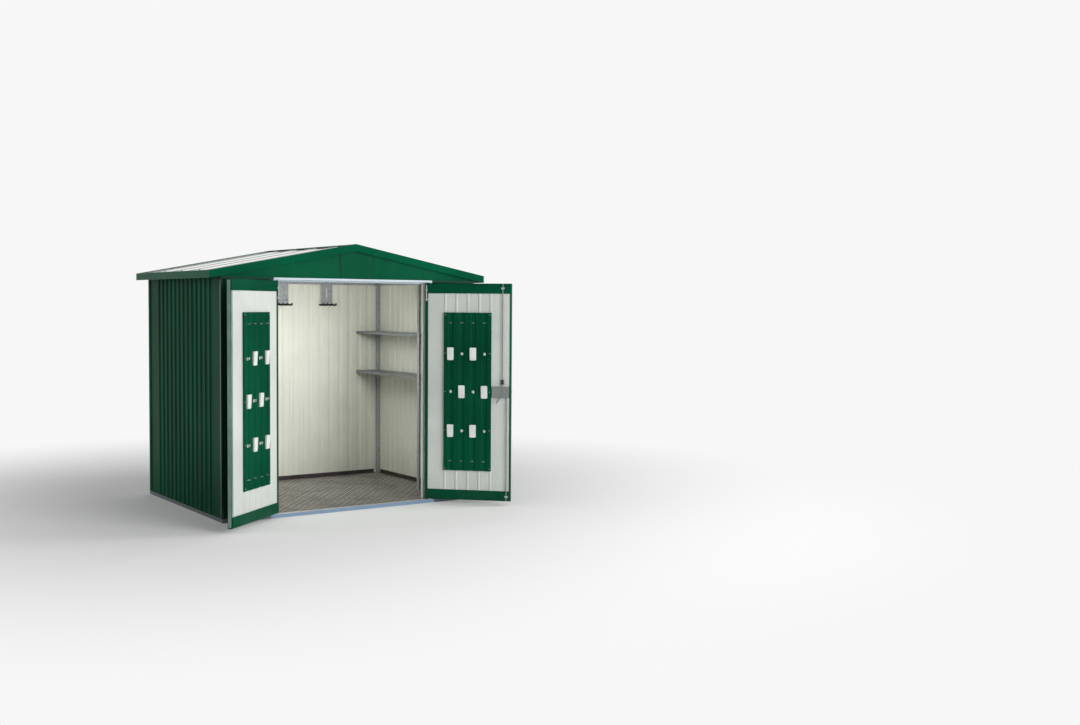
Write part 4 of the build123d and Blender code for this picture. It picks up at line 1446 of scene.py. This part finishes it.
def makeInside():
    given, thick = railSet, sheetSet["thick"]
    low, high = given["z"]

    def angle(x):
        back, leg, seat = x - thick, x - given["leg"], low + thick
        return [(x, low), (x, high), (back, high), (back, seat), (leg, seat), (leg, low)]

    # the foot rails take the dark copy of galvanised steel: painted shade
    half = given["sideHalf"]
    for side, name in ((-1, "left_foot_rail"), (1, "right_foot_rail")):
        outline = [(side * x, z) for x, z in angle(given["sideX"])]
        run, place = (0.0, 0.0, 2 * half), (0.0, half, 0.0)
        folded(name, "shed", outline, run, place, "shadedFootSteel", frontTurn, given["bend"])
    half = given["rearHalf"]
    run, place = (0.0, 0.0, 2 * half), (-half, 0.0, 0.0)
    folded("rear_foot_rail", "shed", angle(given["rearY"]), run, place, "shadedFootSteel", upTurn, given["bend"])

    sleeves = []
    for middle in shedSet["hangers"]:
        for offset in rackSet["prongs"]:
            path = curved(shifted(rackSet["sleeve"], (middle + offset, rackSet["face"], rackSet["low"])), 4)
            sleeves.append(loft(path, rackSet["sleeveSize"], (1.0, 0.0, 0.0), 14, 0.7))
        path = curved(shifted(rackSet["pad"], (middle, rackSet["face"], rackSet["low"])), 3)
        sleeves.append(loft(path, rackSet["padSize"], (0.0, 0.0, 1.0), 12, 0.6))
    merged("hanger_sleeves", "shed", sleeves, "rubber")


# pockets and hooks of the tool boards

boardSet = {
    "columns": (0.2195, 0.3145, 0.4095, 0.5045), "rows": (1.490, 1.236, 0.926, 0.604, 0.357), "seat": 0.0255,
    "gap": 0.0002,
}
pocketSet = {
    "wide": 0.052, "high": 0.104, "deep": 0.017, "wall": 0.0018, "round": 0.009, "lip": 0.00048,
    "lipRound": 0.0054, "corner": 0.0035, "endCorner": 0.003, "floorCorner": 0.002, "lipDrop": 0.0004,
    "innerDrop": 0.010, "turns": 5, "footDeep": 0.55, "curveDeep": 0.62, "innerWall": 2.4,
}
buttonSet = {
    "seat": (
        (0.0110, 0.0), (0.0124, 0.0010), (0.0122, 0.0024), (0.0095, 0.0040), (0.0060, 0.0052),
        (0.0052, 0.0056),
    ),
    "peg": ((0.0, 0.003, -0.001), (0.0, 0.010, -0.0035), (0.0, 0.0165, -0.0010), (0.0, 0.0178, 0.0050)),
    "pegSize": (0.0036, 0.0036), "ball": 0.0062, "ballAt": (0.0, 0.0152, 0.0062), "ballFlat": 0.0002,
}
clipSet = {
    "base": ((-0.0070, 0.0062, 0.0), (-0.0066, 0.0062, 0.0), (0.0066, 0.0062, 0.0), (0.0070, 0.0062, 0.0)),
    "baseSizes": [(0.0028, 0.0030), (0.0045, 0.0048), (0.0045, 0.0048), (0.0028, 0.0030)],
    "stem": ((0.0060, 0.0), (0.0064, 0.0014), (0.0050, 0.0030)),
    "finger": (
        (0.0052, 0.008, -0.002), (0.0082, 0.0135, -0.0035), (0.0112, 0.0175, 0.0005),
        (0.0127, 0.0182, 0.0060),
    ),
    "fingerSize": 0.0022, "fingerTaper": 0.0006,
}


def trayRing(u, v, wide, deep, z, corner, steps=4):
    # a rounded outline, flat against the board and round at its two front corners
    ring = [(u + wide, v, z), (u - wide, v, z)]
    corner = min(corner, wide, deep)
    for cx, start in ((u - wide + corner, math.pi), (u + wide - corner, 1.5 * math.pi)):
        for i in range(steps + 1):
            a = start + 0.5 * math.pi * i / steps
            ring.append((cx + corner * math.cos(a), v + deep - corner - corner * math.sin(a), z))
    return ring


def pocketShell(u, middle):
    # an open-topped pocket: a round foot, walls that widen upwards, a lip, and the hollow
    given = pocketSet
    half, deep, high, wall = given["wide"] / 2, given["deep"], given["high"], given["wall"]
    foot, lip, turns = given["round"], given["lipRound"], given["turns"]
    low, top = middle - high / 2, middle + high / 2
    v = leafSet["boardFace"] + boardSet["gap"]

    def depth(z):
        return deep * (2 + (z - low) / high) / 3

    curve, inner = given["curveDeep"], given["innerWall"] * wall
    rings = [trayRing(u, v, half - foot, depth(low) * given["footDeep"], low, given["endCorner"])]
    for i in range(1, turns + 1):
        s, c = math.sin(0.5 * math.pi * i / turns), math.cos(0.5 * math.pi * i / turns)
        wide, out = half - foot * (1 - s), depth(low) * (curve + (1 - curve) * s)
        rings.append(trayRing(u, v, wide, out, low + foot * (1 - c), given["corner"]))
    for i in range(turns + 1):
        s, c = math.sin(0.5 * math.pi * i / turns), math.cos(0.5 * math.pi * i / turns)
        z = top - lip * (1 - s)
        out = given["lip"] if i > turns / 2 else 0.0
        rings.append(trayRing(u, v, half - lip * (1 - c), depth(z) + out, z, given["corner"]))
    for wide, thin, z, corner in (
        (half - lip - wall, depth(top) - 2 * wall, top - given["lipDrop"], given["endCorner"]),
        (half - 2 * wall, depth(top) - inner, top - given["innerDrop"], given["endCorner"]),
        (half - 2 * wall, depth(low) - inner, low + given["innerDrop"], given["endCorner"]),
        (half - foot, depth(low) - 3 * wall, low + 2 * wall, given["floorCorner"]),
    ):
        rings.append(trayRing(u, v + wall, wide, thin, z, corner))
    points = [point for ring in rings for point in ring]
    return points, tubeFaces(len(rings), len(rings[0]), clockwise=True)


def buttonHook(place):
    # a round seat on the flute with a peg that turns up to a ball
    given, radius = buttonSet, buttonSet["ball"]
    seat = lathe(given["seat"], place, "Y", 24)
    peg = loft(curved(shifted(given["peg"], place), 5), given["pegSize"], (1.0, 0.0, 0.0), 12, 1.0)
    turns = [math.pi * k / 8 for k in range(9)]
    profile = [(radius * math.sin(a) + given["ballFlat"], -radius * math.cos(a)) for a in turns]
    ball = lathe(profile, shifted([given["ballAt"]], place)[0], "Z", 18)
    return [seat, peg, ball]


def clipHook(place):
    # a wide clear clip: a moulded base with two short fingers that turn up
    given = clipSet
    base = loft(shifted(given["base"], place), given["baseSizes"], (0.0, 0.0, 1.0), 14, 0.6)
    parts = [base, lathe(given["stem"], place, "Y", 20)]
    for side in (-1, 1):
        path = curved(shifted([(side * x, y, z) for x, y, z in given["finger"]], place), 4)
        last = len(path) - 1
        radii = [given["fingerSize"] - given["fingerTaper"] * k / last for k in range(last + 1)]
        parts.append(loft(path, [(radius, radius) for radius in radii], (0.0, 0.0, 1.0), 10, 1.0))
    return parts


def makeBoardFittings():
    # clips in the top and bottom row, pockets and buttons by turns between them
    pockets, buttons, clips = [], [], []
    last = len(boardSet["rows"]) - 1
    for row, z in enumerate(boardSet["rows"]):
        for column, u in enumerate(boardSet["columns"]):
            place = (u, boardSet["seat"] + boardSet["gap"], z)
            if row in (0, last):
                clips += clipHook(place)
            elif (row + column) % 2 == 1:
                pockets.append(pocketShell(u, z))
            else:
                buttons += buttonHook(place)
    for side, body, matrix in leaves:
        merged(side + "_pockets_moulded", body, pockets, "whitePlastic", matrix, side + "_pockets")
        merged(side + "_hooks_moulded", body, buttons, "pegPlastic", matrix, side + "_hooks")
        merged(side + "_clip_hooks", body, clips, "clearPlastic", matrix)


# stiles, rail caps and pivot bolts of the leaves

edgeSet = {
    "stileZ": (0.1165, 1.7295), "stileV": (0.0146, 0.0172), "hingeStile": (0.0005, 0.0245),
    "leftStile": (0.7010, 0.7236), "rightStile": (0.7120, 0.7236), "capU": (0.0050, 0.7190), "capV": 0.0161,
    "capHigh": 0.070, "capBend": 0.0016,
}
boltSet = {
    "place": (0.0130, 0.0262, 0.0), "round": 0.0042, "end": 0.00252, "chamfer": 0.002, "z": (1.664, 1.796),
    "clips": (1.682, 1.756), "clipSize": (0.0050, 0.0008),
    "clip": (
        (-0.0105, -0.0062, 0.0), (-0.0062, -0.0035, 0.0), (-0.0035, 0.0040, 0.0), (0.0, 0.0052, 0.0),
        (0.0035, 0.0040, 0.0), (0.0062, -0.0035, 0.0), (0.0105, -0.0062, 0.0),
    ),
}


def makeLeafEdges():
    given = edgeSet
    low, top = given["stileZ"]
    v0, v1 = given["stileV"]
    u0, u1 = given["capU"]
    c0, c1 = given["capV"], leafSet["capFace"]
    z0, z1 = boltSet["z"]
    chamfer, radius, end = boltSet["chamfer"], boltSet["round"], boltSet["end"]
    profile = [(end, z0), (radius, z0 + chamfer), (radius, z1 - chamfer), (end, z1)]
    bolt = [lathe(profile, boltSet["place"], sides=16)]
    for z in boltSet["clips"]:
        path = curved(shifted(shifted(boltSet["clip"], boltSet["place"]), (0.0, 0.0, z)), 3)
        bolt.append(loft(path, boltSet["clipSize"], (0.0, 0.0, 1.0), 10, 0.5))
    for side, body, matrix in leaves:
        # the left leaf's free stile takes the pale copy of the green, a painted reflection; the rest take the
        # darker copy, painted shade
        free = "sheenPaleGreen" if side == "left" else "shadedDoorPaint"
        for name, (a, b), finish in (
            ("_hinge_stile", given["hingeStile"], "shadedDoorPaint"), ("_free_stile", given[side + "Stile"], free),
        ):
            outline = [(a, v0), (b, v0), (b, v1), (a, v1)]
            stood(side + name, body, outline, given["stileZ"], finish, matrix=matrix)
        for name, foot in (("_foot_cap", low - given["capHigh"]), ("_head_cap", top)):
            head = foot + given["capHigh"]
            outline = [(c0, foot), (c1, foot), (c1, head), (c0, head)]
            run, place, bend = (0.0, 0.0, u1 - u0), (u0, 0.0, 0.0), given["capBend"]
            folded(side + name, body, outline, run, place, "shadedDoorPaint", upTurn, bend, matrix=matrix)
        merged(side + "_pivot_bolt", body, bolt, "zinc", matrix)


# door stops, and the shelf's front upright with its brackets

stopSet = {"x": (0.637, 0.756), "y": (-0.792, -0.778), "z": (0.0285, 1.805), "lip": 0.012, "bend": 0.001}
uprightSet = {
    "x": (0.8345, 0.8535), "y": (-0.392, -0.360), "z": (0.0285, 1.810), "bend": 0.001,
    "bracket": (
        (-0.003, 0.001, -0.052), (-0.003, 0.004, -0.030), (-0.003, 0.018, -0.010), (-0.003, 0.046, -0.0012),
    ),
    "bracketSize": (0.0045, 0.0014), "shelves": (0.988, 1.357),
}


def makeStops():
    (x0, x1), (y0, y1) = stopSet["x"], stopSet["y"]
    thick, lip = sheetSet["thick"], x0 + stopSet["lip"]
    outline = [(x1, y1), (x0, y1), (x0, y0), (lip, y0), (lip, y0 + thick), (x0 + thick, y0 + thick)]
    outline += [(x0 + thick, y1 - thick), (x1, y1 - thick)]
    for side, name in ((-1, "left_door_stop"), (1, "right_door_stop")):
        placed = [(side * x, y) for x, y in outline]
        stood(name, "shed", placed, stopSet["z"], "liningPaint", bend=stopSet["bend"])


def makeUpright():
    given, thick = uprightSet, sheetSet["thick"]
    (x0, x1), (y0, y1) = given["x"], given["y"]
    outline = [(x1, y0), (x0, y0), (x0, y1), (x0 + thick, y1), (x0 + thick, y0 + thick), (x1, y0 + thick)]
    stood("shelf_upright", "shed", outline, given["z"], "zinc", bend=given["bend"])
    brackets = []
    for z in given["shelves"]:
        path = curved(shifted(given["bracket"], (x1, y1, z)), 5)
        brackets.append(loft(path, given["bracketSize"], (1.0, 0.0, 0.0), 10, 0.5))
    merged("shelf_brackets", "shed", brackets, "zinc")


# dark joint and rolled edge of the gable plate; the black joint strip is partly painted shade beside the
# raised plate

plateSet = {
    "low": (0.117, 1.835), "top": (0.131, 2.023), "peak": (0.004, 2.035), "joint": 0.0045,
    "jointThick": 0.0007, "jointOut": 0.0002, "jointY": -0.8410, "jointSide": (1.0, 0.0, 0.12),
    "bead": (0.0016, 0.00128), "beadIn": 0.0022, "beadY": -0.8428, "beadShort": 0.002,
}


def makePlateEdge():
    given = plateSet
    (lowX, lowZ), (topX, topZ), (peakX, peakZ) = given["low"], given["top"], given["peak"]
    joint, inset, short = given["joint"] / 2, given["beadIn"], given["beadShort"]
    out, back, face = joint + given["jointOut"], given["jointY"], given["beadY"]
    gap, edges = [], []
    for side in (-1, 1):
        path = [(side * (lowX + out), back, lowZ), (side * (topX + out), back, topZ)]
        path.append((side * peakX, back, peakZ + out))
        gap.append(loft(path, (joint, given["jointThick"]), given["jointSide"], 8, 0.3))
        path = [(side * (lowX - inset), face, lowZ + short), (side * (topX - inset), face, topZ - short)]
        edges.append(loft(path, given["bead"], (1.0, 0.0, 0.0), 10, 1.0))
    # the black strip in the joint stands partly for the shade beside the plate's raised edge: painted shade
    merged("gable_plate_shade_joint", "shed", gap, "rubber")
    merged("gable_plate_roll", "shed", edges, "trimPaint")


makeLock()
makeDoorTrim()
makeInside()
makeBoardFittings()
makeLeafEdges()
makeStops()
makeUpright()
makePlateEdge()
print("lock, trim and inside pieces made")


# CAD nodes: finishes and softened edges

nodeFinish = {
    "greenPaint": ["gable_plate"],
    # the leaf frames take the darker copy of the green: painted shade
    "shadedDoorPaint": ["left_leaf_frame", "right_leaf_frame"],
    "trimPaint": ["roof_trim"],
    "zinc": [
        "floor_grid", "corner_posts", "top_rail", "ridge_beam", "shelf_post", "shelf_strap",
        "left_hanger", "right_hanger", "left_pivot_rod", "right_pivot_rod", "rod_guides",
    ],
    "shelfZinc": ["upper_shelf", "lower_shelf"],
    "rodSteel": ["upper_rod", "lower_rod"],
    "brushedSteel": ["lock_case"],
    "sillAluminium": ["base_frame"],
    "aluminium": ["lintel"],
    "treadSteel": ["floor_plates"],
}
softSet = {
    "width": 0.0007, "floor_plates": 0.0004, "roof_trim": 0.0006,
    "weld": 0.00001, "flat": 0.3, "corner": 32.0,
}


def dress(part, material):
    if not part.material_slots:
        part.data.materials.append(material)
    for item in part.material_slots:
        item.material = material


def soften(part, width):
    # welded and bevelled without a change to the node's own mesh
    part.modifiers.new("weld", "WELD").merge_threshold = softSet["weld"]
    flat = part.modifiers.new("flatFaces", "DECIMATE")
    flat.decimate_type = "DISSOLVE"
    flat.angle_limit = math.radians(softSet["flat"])
    bevel = part.modifiers.new("edges", "BEVEL")
    bevel.width = width
    bevel.segments = 2
    bevel.limit_method = "ANGLE"
    bevel.angle_limit = math.radians(softSet["corner"])
    bevel.harden_normals = False
    part.modifiers.new("evenNormals", "WEIGHTED_NORMAL")


for finish, names in nodeFinish.items():
    for name in names:
        dress(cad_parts[name], finishes[finish])
        soften(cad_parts[name], softSet.get(name, softSet["width"]))
print("nodes dressed:", sum(len(names) for names in nodeFinish.values()))
